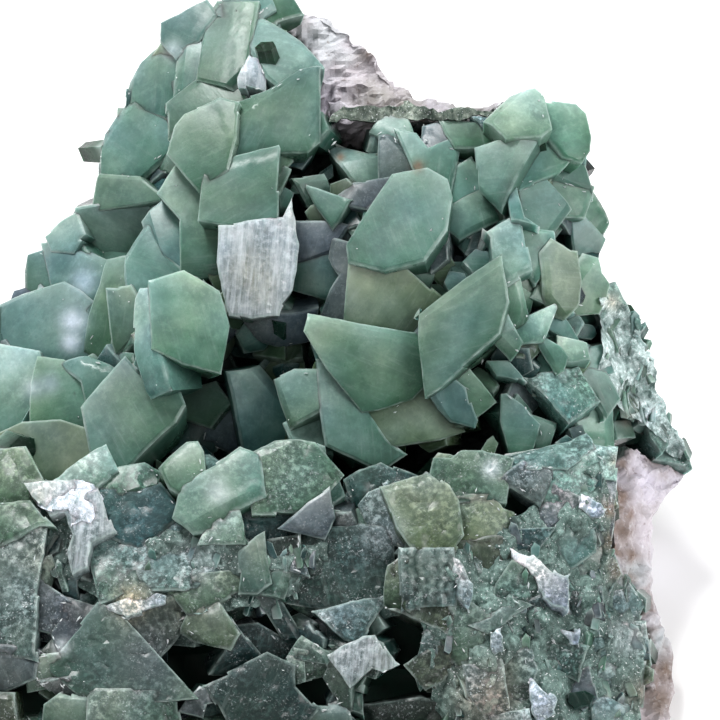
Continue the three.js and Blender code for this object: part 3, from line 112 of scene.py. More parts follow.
RIGHT_CRYSTALS = (
    ("p", -2.2, 0, -0.5, 2.6, (-1.65, 11, -1.3, 11.3, -0.5, 10.95, 0.4, 10.5, 1, 10.6, 1, 9.2, -0.4,
      8.9, -1.2, 10)),
    ("p", -2.2, 0.1, -0.6, 2.2, (0.4, 11.6, 1.65, 12.9, 2.4, 12.35, 2.6, 11.8, 1.2, 11.2)),
    ("v", -1.2, 0.1, -0.3, 2.6, (0.9, 11.4, 1.6, 11.7, 1.95, 11, 2.2, 10.2, 2.4, 9.6, 1.6, 9.2, 0.9, 9.2)),
    ("g", -0.8, 0, -0.45, 2.8, (2, 11.3, 3.1, 11, 3.4, 10.6, 4.3, 11, 5, 10.4, 4.7, 9, 3.3, 9.7, 2.4,
      10.3)),
    ("g", -1.2, -0.05, -0.5, 2.6, (4.3, 12.2, 6.1, 12.05, 6.6, 11.5, 6.3, 10.9, 5.9, 10.6, 5, 10.6, 4.5,
      11.6)),
    ("f", -1.2, -0.1, -0.5, 1.6, (5.9, 12, 6.5, 12, 7.1, 11.6, 7.1, 11.35, 6.5, 11.35)),
    ("v", -1.5, 0.1, -0.5, 2, (3, 11, 3.1, 11.8, 3.9, 12, 4.3, 11.2, 3.5, 10.7)),
    ("p", -0.4, -0.1, -0.55, 3, (6.2, 12.2, 7.5, 13.4, 8.8, 13.7, 9.2, 13.3, 9.6, 11.7, 9.1, 11.3, 7.2,
      11.2)),
    ("b", 0.2, 0.25, -0.3, 3, (6, 10.6, 7, 11, 8.7, 11.1, 7.5, 9, 6.8, 7.7, 6.2, 8.3)),
    ("g", -1.8, -0.35, -0.4, 3, (9.3, 13.1, 10.9, 12.9, 11.4, 12.4, 11.65, 11.2, 11.6, 10.5, 11.2, 9.9,
      10.2, 10.2, 9.6, 10.9)),
    ("b", -1, -0.15, -0.25, 2.8, (9.6, 10.9, 10.2, 10.05, 9.3, 9.1, 8.15, 8.6, 7.5, 9, 8.7, 10.65)),
    ("b", -1, -0.25, -0.2, 3, (8, 8.5, 9.3, 9, 10.65, 7.5, 9.75, 6.3, 8.3, 7)),
    ("g", -2.5, -0.4, -0.3, 2.6, (9.9, 8.9, 11.8, 8.45, 11.5, 7.5, 10.7, 7.5)),
    ("g", -2.8, -0.5, -0.3, 2.4, (10.3, 10, 11.35, 9.9, 11.8, 8.5, 11, 8.5, 10, 8.9)),
    ("g", -4, -0.6, -0.2, 2.6, (11.9, 8.8, 12.4, 8, 12.75, 7, 12.4, 6.4, 11.3, 7.15, 11.65, 8.05)),
    ("b", -3, -0.4, -0.15, 2.6, (10.6, 7.3, 11.1, 7.1, 12, 6.5, 12.45, 6, 12.1, 5.2, 11.2, 5.3, 10.7,
      5.8)),
    ("g", -0.5, 0.3, -0.2, 2.6, (-2.9, 8.9, -1.2, 8.3, -0.6, 7.7, -1, 7, -1.4, 6.5, -1.9, 7.2, -2.4, 7.9)),
    ("v", -0.3, 0.1, -0.3, 2.6, (-1.2, 8.3, -0.4, 8.9, 1, 9.1, 1.6, 9.2, 0.3, 7.5, -0.6, 7.7)),
    ("v", -0.5, 0.2, -0.1, 2.4, (-2.9, 7, -2.2, 7, -1.3, 6.6, -2, 5.4, -2.8, 5.1)),
    ("b", -0.6, 0.1, 0.1, 2.2, (-2.8, 4.6, -1.2, 4.6, -1, 4.1, -1.9, 3, -2.6, 3.2)),
    ("v", 0.6, 0.35, -0.1, 2.8, (-1.5, 6.2, -0.4, 5.9, -0.1, 3.2, -0.8, 2, -2, 2.4, -1.4, 3.5, -1, 4.2,
      -1.6, 5)),
    ("g", 1.8, 0.1, -0.35, 3.6, (3.2, 9.6, 4.25, 9, 4.5, 8.1, 4.3, 6.8, 3, 5, 1, 4.5, -0.6, 4.9, -0.7,
      5.8, 0.3, 7.4, 1.6, 9.3)),
    ("y", 2, 0.05, 0.05, 3, (-0.6, 4.6, 1, 4.5, 2.6, 4.4, 3.95, 3.3, 2.6, 2.6, 2, 1.6, 0.2, 1.7, -0.8,
      2.2)),
    ("g", 0, -0.1, -0.3, 2.4, (4.5, 7.3, 5.7, 8, 6.35, 7.1, 6, 6.5, 5, 6, 4.1, 6.6)),
    ("g", -0.3, -0.1, -0.3, 2.4, (4.6, 8.9, 5.4, 9.4, 6.1, 8.4, 6.6, 7.6, 5.7, 8, 4.6, 7.4)),
    ("v", 1, 0.2, -0.2, 2, (3.3, 4.9, 3.6, 5.5, 4.4, 5.7, 4.4, 5, 3.9, 4.6, 3.5, 4.3)),
    ("g", 3.6, 0.15, -0.12, 2.4, (6.9, 5.4, 7.15, 3.6, 7.15, 2.2, 6.9, 1.3, 3.95, -1.35, 3.2, -1.75,
      2.9, 0.7, 2.85, 2.1, 3.3, 2.7, 5, 4.05)),
    ("p", 1.6, -0.1, -0.4, 2.8, (6.5, 6.1, 7.1, 6.95, 7.5, 7.2, 8.2, 6.4, 8.6, 4.5, 7.7, 3.9, 7.1, 3.7,
      6.95, 5.4)),
    ("g", 0.6, -0.3, -0.2, 2.4, (8, 6.4, 9, 6.3, 9, 5, 8.7, 4.5, 7.8, 5.9)),
    ("b", 0.5, 0, -0.6, 2.2, (7.3, 8.3, 7.9, 8.4, 8.2, 7.2, 9, 6.9, 7.5, 7.1)),
    ("g", 2, -0.2, 0, 2.2, (7.5, 3.3, 8.2, 3.4, 8.5, 1.9, 7.8, 1.5, 7.4, 2.2)),
    ("p", 2.5, -0.2, 0.1, 1.8, (7.25, 2.4, 7.6, 1.6, 8.05, 0.7, 7.9, 0.4, 7.2, 0.7, 6.6, 1)),
    ("y", 0.6, -0.35, -0.15, 3, (9.8, 5.95, 10.4, 5.35, 10.95, 4.85, 11.05, 4, 11, 3.2, 10.7, 2.4, 10.4,
      2.1, 9.7, 2.4, 9.2, 3, 9, 5)),
    ("g", -1.2, -0.5, -0.1, 3, (11.05, 4.9, 11.4, 5.4, 12.05, 5.1, 12.2, 4.4, 12.6, 3.8, 12.4, 3.1, 12,
      2.3, 10.9, 2.2, 11.1, 3.2)),
    ("p", 1.5, -0.1, -0.2, 2.2, (7.9, 1.4, 9.7, 2.25, 9.2, 1, 8.3, 0.9)),
    ("b", 0.4, -0.2, -0.2, 2.2, (9.7, 2.2, 10.4, 2, 10.9, 1.2, 9.9, 1.2, 9.4, 1.5)),
    ("p", 1, -0.1, -0.35, 2.4, (9.8, 1.1, 11.35, 0.75, 11.5, 0.1, 10.75, 0.2, 9.8, 0.55)),
    ("g", 1.3, 0, -0.1, 2.2, (8.7, 0.95, 9.8, 0.35, 10.35, -0.05, 10.2, -0.5, 9.8, -0.75, 9.35, -0.1)),
    ("f", 1.3, -0.2, -0.4, 2.6, (8.1, -0.75, 9.3, -0.5, 11.2, -0.6, 12, -1.9, 10.3, -3.1, 9.1, -1.7)),
    ("g", 2.4, -0.1, -0.1, 2.6, (7, -1.65, 7.3, -1.6, 8.1, -2.2, 9, -3.2, 8.8, -3.9, 7.3, -4.3, 6.95, -3)),
    ("g", 1.4, -0.2, -0.1, 2, (8.75, -2.7, 9.9, -3.1, 9.7, -3.7, 9, -4)),
    ("b", -0.5, -0.5, -0.2, 2.4, (11.2, -0.6, 12.2, -0.9, 12.9, -2.2, 12.3, -3, 12, -1.9)),
    ("b", -0.8, -0.4, -0.1, 2.4, (12, -2, 12.9, -2.9, 13, -4.2, 11.9, -4.2, 11.3, -2.9)),
    ("b", -0.8, -0.5, -0.2, 2.4, (11.5, 0.7, 12.3, 0.9, 12.9, -0.6, 12.2, -0.9, 11.3, -0.5)),
    ("k", -4, -0.5, -0.3, 2.6, (12.4, 3, 13.3, 3.3, 14.1, 1.4, 13.8, 0.95, 12.6, 1, 11.9, 2)),
    ("k", -3.8, -0.5, -0.2, 2.6, (12.6, 1, 13.8, 0.95, 14.3, 0.25, 13.95, -0.9, 12.9, -0.7, 12.3, 0.6)),
    ("k", -4.2, -0.4, -0.4, 2.6, (12.9, -0.8, 13.95, -0.9, 15.2, -2, 15.2, -2.4, 14.2, -2.6, 13, -2.1)),
    ("k", -4.8, -0.4, -0.4, 2.4, (14.2, -2.4, 15.3, -2.5, 15.65, -2.9, 15.9, -3.9, 15.3, -4.7, 14.7,
      -3.9)),
    ("k", -5.5, -0.4, -0.4, 2.2, (15.3, -4.2, 16.2, -4, 16.7, -4.85, 16.95, -5.5, 16.2, -5.3, 15.3, -5.1)),
    ("g", 2.9, -0.08, 0.05, 3.2, (-2.2, 2, 0.75, 1.4, 2.85, 1, 3, -1.4, 2.4, -2, 0.9, -2.5, 0.1, -2.6,
      -1.7, -0.4, -2.5, 0.9)),
    ("b", -0.2, -0.2, 0.15, 2.4, (-6.5, -0.6, -6.3, -1.8, -6.1, -3.2, -5.9, -4.2, -5, -4.2, -4, -3.8,
      -3.4, -3.3, -4, -2.2, -4.4, -0.9, -4.9, -0.3)),
    ("p", 2, 0.35, -0.2, 3, (-4.4, -0.9, -3.3, -0.4, -2.1, -0.4, -1.9, -2.5, -3.6, -3.4, -4.1, -2)),
    ("g", 2.6, -0.1, -0.1, 3.2, (-2.1, -0.4, -1.4, -0.6, -1, -1.4, 0.1, -3, 1, -4.3, 1.5, -4.55, 0.4,
      -5.1, -0.2, -5, -1.3, -4.5, -1.8, -3.8, -2, -2.4)),
    ("p", 1.6, 0, -0.3, 2.2, (-3.6, -3.4, -1.9, -2.5, -1.75, -3.9, -3.4, -3.9)),
    ("y", 2.2, -0.1, -0.1, 2.8, (0.15, -2.8, 2.4, -2, 3.3, -1.85, 4.2, -2.7, 4.75, -3.75, 4, -4, 1.3,
      -4.4)),
    ("b", 2.6, -0.1, -0.1, 2.4, (3.6, -1.7, 4.6, -1.1, 5.1, -1.5, 5.6, -2.2, 5.9, -3, 5.75, -3.4, 4.6,
      -3.1, 4, -2.4)),
    ("g", 2.2, -0.1, -0.1, 2.2, (4.9, -0.9, 5.5, -0.4, 6.85, -2.1, 6.4, -2.45, 5.3, -1.4)),
    ("b", 1.8, -0.1, -0.2, 2.2, (6.3, 0, 7.4, 0, 8.1, -0.8, 8.3, -1.1, 6.8, -0.8)),
    ("g", 1.2, -0.3, 0.2, 2, (4.2, -1.1, 5, -0.3, 6.2, 0.5, 6.9, 1.2, 6.3, 0, 5.5, -0.4, 4.9, -0.9)),
)

FRONT_CRYSTALS = (
    ("y", 2, 0.3, -0.4, 3, (-19.5, -4.9, -16.9, -4.7, -16.1, -6.1, -16.8, -6.9, -19.5, -7.1)),
    ("p", 3.6, 0.1, -0.5, 2.6, (-14.8, -6, -12.5, -4.4, -12, -5.4, -12.7, -6, -13.6, -6.1)),
    ("g", 3.8, 0, -0.5, 2.6, (-12.7, -5.8, -12, -5.5, -10.3, -5.2, -9.85, -5.4, -10, -6.4, -11, -6.6,
      -12.8, -6.5)),
    ("g", 4.3, 0.1, -0.4, 2.8, (-9.85, -5.1, -9.3, -4.6, -8.6, -4, -8.05, -4, -7.7, -4.6, -7.6, -5.5,
      -8.4, -6.3, -9.6, -5.6)),
    ("g", 5.2, 0.15, -0.35, 3.2, (-9, -6.7, -7.6, -5.6, -6.6, -5, -6.1, -4.8, -5.75, -4.9, -5.5, -6.9,
      -6.1, -7.2, -7, -8.2, -8, -8.3, -9.2, -7.4)),
    ("g", 5, -0.1, -0.25, 3.2, (-5.6, -4.9, -4.1, -4.2, -3, -4.3, -1.6, -4.7, -0.8, -5.6, -1.6, -6.3,
      -3, -7.6, -4.7, -7.6, -5, -5.3)),
    ("v", 5.4, -0.1, 0, 2.4, (-1.45, -6.25, -1.2, -7.8, -1.5, -8.5, -3.2, -8.1, -2.4, -7.2)),
    ("p", 5.8, 0.1, -0.2, 2.4, (-7, -8.1, -6.1, -7.2, -5.9, -8, -5.8, -9, -7.5, -9)),
    ("t", 4.6, 0, 0, 2, (-5.5, -7, -4.7, -7.6, -3.1, -7.8, -3.3, -8.5, -5.7, -8.7, -5.8, -7.5)),
    ("t", 3.6, -0.1, -0.3, 2.4, (-0.8, -5.8, 0, -5.6, 1.9, -5.3, 2.5, -5.5, 1, -6, 0.5, -6.5, -0.4, -7)),
    ("f", 4.6, 0.2, -0.1, 2.6, (0.4, -6.5, 1, -6.1, 1.7, -8.1, 2.5, -9.2, 0.3, -8.3, -0.2, -7.2)),
    ("y", 6, -0.05, -0.25, 3.2, (1, -6.1, 3.3, -5.4, 4.2, -6, 4.9, -7.1, 5.1, -8.4, 4.7, -9.2, 2.6,
      -9.3, 1.8, -8.2)),
    ("g", 4.4, -0.1, -0.35, 3, (3.5, -5.3, 3.65, -4.7, 4.5, -4.8, 5, -4.4, 6.1, -4.4, 7.3, -4.7, 7.15,
      -5.2, 6.9, -6.9, 5.3, -6.9, 4, -5.9)),
    ("y", 5, -0.1, -0.2, 2.8, (5, -7.1, 6.9, -7, 7.1, -7.3, 7.7, -7.4, 7.9, -8.5, 6, -8.7, 5.1, -8.9)),
    ("t", 4.4, 0.05, -0.3, 2.6, (-12.9, -6.6, -10.9, -6.7, -9.6, -6.3, -9, -7, -9.4, -8.1, -10.6, -9.2,
      -12, -8.6, -12.4, -7.5)),
    ("f", 3.6, -0.2, -0.4, 2.8, (7.2, -4.8, 9.5, -4.3, 11.2, -3.4, 11.7, -4.4, 10.3, -5.4, 8.2, -5.4, 7,
      -6.1)),
    ("v", 4, -0.2, -0.25, 2.6, (7.1, -6.1, 8.2, -5.3, 9.6, -5.4, 8.8, -7.1)),
    ("w", 4.6, 0.15, -0.4, 2.6, (-16.7, -6.15, -15, -6, -13.1, -5.9, -12.7, -6.8, -12, -8.4, -13.2,
      -9.05, -13.4, -10.2, -14.2, -10.6, -14.5, -9.6, -14.2, -8.7, -14.6, -7.7, -15.3, -7.9, -16.25,
      -6.9)),
    ("g", 4.2, 0.3, -0.35, 2.8, (-19.5, -7.2, -17, -7, -16.2, -7.1, -15.3, -8, -16.5, -8.1, -18, -9,
      -19.5, -9)),
    ("f", 5.4, 0.2, -0.25, 3, (-19.5, -9, -16.5, -8, -15.6, -8.8, -15.9, -10.5, -16.1, -13, -16, -14.6,
      -17.2, -14.4, -19.5, -14.2)),
    ("v", 5.4, 0.1, -0.2, 2.6, (-15.6, -10.9, -14.6, -11.6, -14.4, -12.4, -15.2, -13.6, -15.9, -13.5)),
    ("v", 5.7, 0.15, -0.3, 2.6, (-14.5, -11.6, -13.2, -12, -14, -13.2, -15, -14.4, -15.3, -13.5, -14.5,
      -12.4)),
    ("g", 6.8, 0.15, -0.3, 3.4, (-13.2, -12.2, -11.4, -12.9, -9.8, -14.6, -8.3, -16.2, -10.4, -16.4,
      -13.8, -16.4, -14.8, -15.6, -14.9, -14.4)),
    ("s", 5.9, 0.1, -0.5, 2.6, (-13.1, -12.1, -10.6, -11.2, -9.4, -11.4, -9.4, -12, -11.5, -12.8)),
    ("o", 6, -0.1, -0.2, 2.6, (-11.4, -12.9, -9.5, -12, -8.5, -12.3, -9.2, -13.8, -9.7, -14.5)),
    ("f", 5.3, 0.05, -0.45, 3, (-12.6, -9.4, -10.6, -9.3, -9.4, -8.2, -7.8, -8.4, -6, -9, -6, -10.6,
      -8.6, -11, -10.6, -11.1, -12.9, -12, -13.15, -11)),
    ("y", 5.9, 0.05, -0.3, 2.6, (-9.4, -11.3, -8.6, -11, -6, -10.7, -6, -11.4, -7, -11.8, -8.5, -12.3)),
    ("y", 6.5, 0.1, -0.2, 3, (-8.5, -12.4, -7.05, -11.7, -6.6, -12.35, -5.9, -13.4, -6.4, -14.3, -8.2,
      -13.9, -9, -13.4)),
    ("t", 5.8, -0.2, 0.1, 2.4, (-6, -13.3, -5.2, -14.3, -5.7, -15, -7, -15, -6.4, -14.2)),
    ("v", 6, 0.2, -0.2, 2.6, (-19.5, -14.5, -17, -14.6, -16.1, -14.9, -16.2, -15.8, -17.3, -16.3, -19.5,
      -16.2)),
    ("p", 6.2, 0.1, -0.2, 2.4, (-16, -14.5, -15.2, -14.4, -14.9, -15.6, -15.9, -15.8)),
    ("v", 6.3, 0.1, 0.2, 2.2, (-16, -15.9, -14.8, -15.7, -14.2, -16.4, -15.2, -16.5)),
    ("r", 6.6, -0.05, 0, 3.2, (1.9, -9.2, 4.3, -9.2, 4.4, -10.5, 4.1, -12.2, 2, -12.4, 1.9, -10.5)),
    ("y", 6.3, 0.6, 0, 2.6, (1.3, -10, 1.9, -9.6, 1.9, -12.4, 1.2, -12.3)),
    ("s", 6.3, -0.3, -0.1, 2.6, (4.3, -9.3, 5, -9.7, 5.7, -11, 5.5, -12.6, 4.7, -11.8, 4.45, -10.5)),
    ("t", 5, 0.05, -0.1, 2.8, (-3.3, -9.1, 0.1, -8.4, 1.1, -8.3, 1.2, -10.5, 0.7, -11.7, -2, -12, -3.4,
      -12, -3.6, -11.2, -2.6, -10.3)),
    ("f", 5.8, 0, -0.3, 2.6, (-2.25, -12.5, 0.9, -11.8, 1.1, -12.35, 0.5, -13.3, -1.5, -13.2)),
    ("w", 6.8, 0.05, -0.25, 2.8, (-1.7, -14.5, 0.1, -13.5, 0.75, -13.45, 2, -14.95, 1.1, -15.4, 0.6,
      -15.2, -0.5, -16.2)),
    ("p", 6.3, 0.2, -0.3, 2.4, (-3.25, -14.5, -2.7, -13.65, -1.6, -14.3, -1.9, -14.7)),
    ("g", 6.2, 0, -0.1, 2.2, (-2.8, -14.8, -1.7, -14.9, -1.8, -15.7, -2.65, -15.9)),
    ("p", 6.3, 0.1, -0.1, 2, (-3.3, -15, -2.85, -15, -2.8, -15.9, -3.1, -16, -3.4, -15.6)),
    ("g", 6.4, 0.3, 0, 2.2, (-1.7, -15, -0.4, -16.3, -0.4, -16.7, -1.1, -16.95, -1.85, -15.7)),
    ("t", 5.4, -0.1, 0, 2.4, (-5.2, -11.6, -3.9, -11.7, -2.8, -13.6, -3.8, -13.9)),
    ("d", 5.3, 0.1, 0, 2.2, (-4.75, -8.85, -2.95, -8.55, -2.9, -9.2, -3.7, -10.3, -4.4, -10.7)),
    ("v", 5.6, 0, -0.2, 2.2, (-3.2, -9.4, -2.6, -10.3, -2.5, -10.6, -3.6, -10.3)),
    ("g", 5.8, 0.1, -0.3, 2.4, (-5.1, -11.5, -3.65, -10.5, -3.5, -10.9, -3.8, -11.6)),
    ("b", 6.2, 0.1, -0.2, 2.6, (-6, -9.6, -4.85, -8.6, -4.75, -9.7, -4.5, -10.9, -5.2, -11.5, -6, -11.5)),
    ("t", 6.8, 0, -0.3, 3.2, (-7, -15.6, -5.8, -15, -4.5, -14.4, -3.2, -15, -3.2, -16, -2, -17, -2.5,
      -17.6, -4, -18.4, -6.6, -18.4, -6.6, -16.8)),
    ("t", 5.2, -0.1, 0, 2.2, (-5.7, -13.1, -5, -13, -3.9, -14, -3.3, -14.8, -4.5, -14.4, -5.2, -14.2)),
    ("g", 6.4, 0, -0.1, 2.4, (-2, -17.2, -0.5, -17.1, -0.2, -18.4, -2.6, -18.6)),
    ("d", 5.2, 0, 0, 2.4, (0.5, -17, 3, -16.6, 4.8, -17, 5.6, -18.5, 0.3, -18.6)),
    ("g", 6.6, 0.1, -0.1, 2.6, (-14.8, -16.4, -13.6, -16.5, -13.4, -18.5, -15.8, -18.5, -15.6, -17)),
    ("g", 7.2, 0.05, -0.2, 2.8, (-13.2, -16.5, -10.5, -16.5, -8.8, -17.5, -8.6, -18.6, -13.3, -18.6)),
    ("o", 6.6, 0.2, -0.1, 2.6, (-19.5, -16.4, -17, -16.5, -16.5, -18.5, -19.5, -18.5)),
    ("v", 6.8, 0, -0.3, 2.2, (-8.5, -16.6, -7.9, -16, -7.6, -16.1, -6.9, -16.8, -7.5, -16.9, -7.7,
      -17.6, -9, -17.3)),
    ("b", 3, -0.3, -0.2, 2.6, (9.6, -5.5, 10.4, -5.4, 11.8, -4.5, 12.9, -4.6, 12.8, -6, 11.2, -5.9,
      10.8, -6.2, 9.7, -6.7)),
    ("v", 3.9, -0.1, -0.1, 2.4, (8.9, -7.2, 9.6, -6.6, 10.2, -6.9, 10.4, -7.6, 9.6, -8.3, 8.3, -8.4)),
    ("s", 3.5, -0.1, -0.25, 2.2, (10.7, -7.3, 10.9, -6.5, 11.6, -6.7, 12.45, -7.3, 12.2, -7.75, 11.6,
      -8, 10.95, -7.6)),
    ("v", 2.6, -0.4, -0.1, 2.4, (12.4, -6.2, 12.9, -6.4, 12.7, -8.4, 12, -8.1, 12.5, -7.3)),
    ("b", 4, -0.1, -0.2, 2.6, (9.6, -8.3, 10.6, -7.8, 11.8, -8.2, 11.5, -9.6, 10.8, -10.1, 9.9, -9.9, 9,
      -9.5)),
    ("t", 4.8, 0, -0.1, 2.4, (7.9, -8.6, 9.5, -8.3, 8.7, -9.4, 7.2, -8.9)),
    ("s", 5.4, -0.1, -0.3, 2.4, (7.1, -9, 7.9, -9.4, 8.6, -9.5, 10.1, -10.5, 10.5, -10.4, 10.5, -11.3,
      10.4, -12.4, 9.5, -12.2, 8.8, -11.6, 8.5, -10.8, 7.5, -9.9)),
    ("k", 3.4, -0.3, -0.1, 2.4, (11.6, -9.4, 12.4, -8.7, 12.9, -10.2, 12.3, -11.2, 11.1, -11, 10.9,
      -10.2)),
    ("t", 4.2, -0.2, -0.1, 2.4, (10.6, -11.2, 12, -11.2, 12.1, -12.4, 11.4, -13, 10.7, -12.8, 10.4,
      -12.3)),
    ("k", 2.6, -0.4, -0.1, 2.4, (12.1, -11.3, 13.4, -11, 14.3, -12.2, 14, -13, 12.7, -12.9, 12, -12.4)),
    ("s", 4.9, -0.05, -0.3, 2.2, (9.65, -13.2, 11, -13.1, 10.95, -14.25, 10.3, -14.1)),
    ("s", 4.2, 0, -0.3, 1.8, (11.5, -13.4, 11.8, -13, 12.05, -13.4, 11.9, -13.7)),
    ("b", 4, -0.2, -0.1, 2.4, (11, -13.2, 12.3, -12.9, 12.8, -14.3, 11.8, -15.5, 11.1, -15)),
    ("k", 2.8, -0.4, -0.1, 2.4, (12.9, -13, 14.3, -13, 14.6, -14.8, 13.2, -15.4, 12.6, -14.3)),
    ("f", 5, 0, -0.2, 2.4, (9.3, -13.4, 10.2, -14.3, 11, -14.6, 10.6, -15.9, 9.3, -15.4, 8.4, -14.3)),
    ("b", 3.4, -0.3, -0.1, 2.4, (12, -15.4, 13.2, -15.2, 14.4, -15, 14.3, -16.5, 12.6, -16.8, 11.6,
      -16.3)),
    ("v", 4.6, -0.1, -0.2, 2.2, (10.5, -16, 11.4, -15.7, 11.6, -16.5, 10.8, -17.2, 10.2, -16.8)),
    ("b", 4.2, -0.2, -0.2, 2.4, (11.4, -17.1, 12.4, -16.9, 13.6, -17.4, 13.2, -18.6, 11.6, -18.6)),
    ("s", 5.8, -0.1, -0.3, 2.2, (8.2, -15.4, 8.5, -15.5, 9.9, -16.5, 9.8, -17.5, 8.9, -18, 8.3, -17.5)),
    ("s", 6.2, 0, -0.2, 2.2, (6.25, -13.3, 7.1, -12.95, 7.2, -13.6, 7.15, -14.5, 6.45, -14.65)),
    ("o", 5.4, -0.1, 0.1, 2.4, (5.1, -9, 6.2, -8.8, 7, -8.9, 7.2, -10.2, 6.6, -10.9, 5.8, -11)),
    ("g", 5.8, -0.1, -0.1, 2.4, (7.4, -10, 8.4, -10.8, 8.8, -11.7, 8, -12.1, 6.8, -11.6, 7, -10.6)),
    ("p", 6.2, -0.1, -0.2, 2.2, (6.1, -12.6, 7.8, -11.7, 8.4, -12, 7, -12.9)),
    ("t", 5.6, 0, 0, 2.2, (7.2, -12.9, 8.6, -12.3, 9.4, -12.5, 9.3, -13.3, 8.2, -14, 7.4, -13.8)),
    ("g", 6.2, 0, -0.1, 2.4, (4.8, -12, 5.8, -12.8, 6.2, -13.2, 6.1, -14.6, 5.2, -15, 4.4, -13.6)),
    ("f", 6.4, 0, -0.2, 2.4, (5, -15.2, 7, -14.8, 7.3, -16.8, 6.2, -17.8, 5.2, -16.4)),
    ("f", 5.8, 0, -0.1, 2.2, (7.2, -14.9, 8.2, -14.4, 8.4, -15.4, 8.1, -17, 7.4, -17.2)),
    ("f", 6.6, 0, -0.2, 2.2, (6.2, -17.6, 8.2, -17.3, 8.6, -19, 6.2, -19)),
    ("o", 6.2, 0, -0.2, 2.4, (2.1, -15, 3.4, -14.2, 4.3, -13.6, 4.7, -14.9, 4.2, -15.8, 3.2, -16.3)),
    ("p", 6, 0, -0.2, 2, (3, -13.3, 3.4, -13, 4.4, -13.4, 3.4, -14.1, 2.9, -14)),
    ("o", 6.3, 0, -0.3, 2.2, (2.1, -12.5, 4.1, -12.2, 4.7, -12.7, 4.3, -13.4, 3.3, -13)),
)

FOOT_CRYSTALS = (
    ("g", 6, 0.2, 0.3, 3, (-19, -18.6, -16, -18.6, -15.5, -21, -18.5, -21.5)),
    ("b", 6.4, 0, 0.4, 3, (-15.8, -18.6, -12.5, -18.7, -12, -21.5, -15, -22)),
    ("g", 6.6, 0.1, 0.4, 3, (-12.4, -18.7, -8.5, -18.7, -8, -21.5, -11.5, -22.2)),
    ("p", 6.6, 0, 0.4, 3, (-8.3, -18.5, -4, -18.5, -3.5, -21.8, -7.5, -22.3)),
    ("g", 6.4, -0.1, 0.4, 3, (-3.8, -18.5, 0.2, -18.6, 1, -21.6, -3, -22.2)),
    ("b", 6, 0, 0.3, 3, (0.4, -18.7, 4.5, -18.6, 4.8, -21.5, 1.2, -22)),
    ("y", 6, -0.1, 0.3, 3, (4.8, -18.8, 8.6, -19, 8.8, -21, 5.2, -21.6)),
    ("g", 4.6, -0.2, 0.2, 2.6, (8.8, -18.7, 12.8, -18.7, 12.4, -20.2, 9, -20.6)),
)

CLEFT_CRYSTALS = (
    ("g", -2.0, 0.3, -0.2, 2, (-9, -1.5, -7.6, -1.1, -6.7, -2.4, -7.5, -3.4, -8.9, -3)),
    ("v", -2.2, -0.2, 0.2, 2, (-7.6, -2.8, -6.3, -2.1, -5.9, -3.6, -6.8, -4.6, -7.9, -4.1)),
    ("t", -2.4, 0.1, 0.1, 2, (-9.3, -3.1, -7.9, -3, -7.6, -4.4, -8.6, -5, -9.5, -4.2)),
    ("d", -3, 0.1, 0.3, 2, (-8.2, 0.6, -6.8, 0.8, -6.2, -0.4, -6.9, -1.3, -8, -0.8)),
)

# Looks: colour (sRGB, 0 to 255), pearl, frost, ribs. The pale colours of the pearly 'w' and silvery 's' looks
# are partly the cleavage faces' own lustre and partly painted glints.
LOOKS = {
    "g": ((100, 130, 116), 0.0, 0.05, 0.0),
    "b": ((102, 133, 125), 0.0, 0.05, 0.0),
    "p": ((130, 156, 145), 0.0, 0.1, 0.0),
    "y": ((108, 128, 107), 0.0, 0.05, 0.0),
    "v": ((98, 110, 113), 0.0, 0.15, 0.0),
    "t": ((54, 84, 82), 0.0, 0.15, 0.0),
    "o": ((82, 99, 84), 0.0, 0.1, 0.0),
    "d": ((36, 54, 48), 0.0, 0.1, 0.0),
    "f": ((106, 131, 127), 0.0, 0.8, 0.0),
    "w": ((152, 163, 166), 0.8, 0.25, 0.0),
    "s": ((180, 193, 202), 0.3, 1.0, 0.0),
    "r": ((96, 122, 118), 0.0, 0.3, 1.0),
    "k": ((112, 136, 130), 0.0, 0.5, 0.0),
}

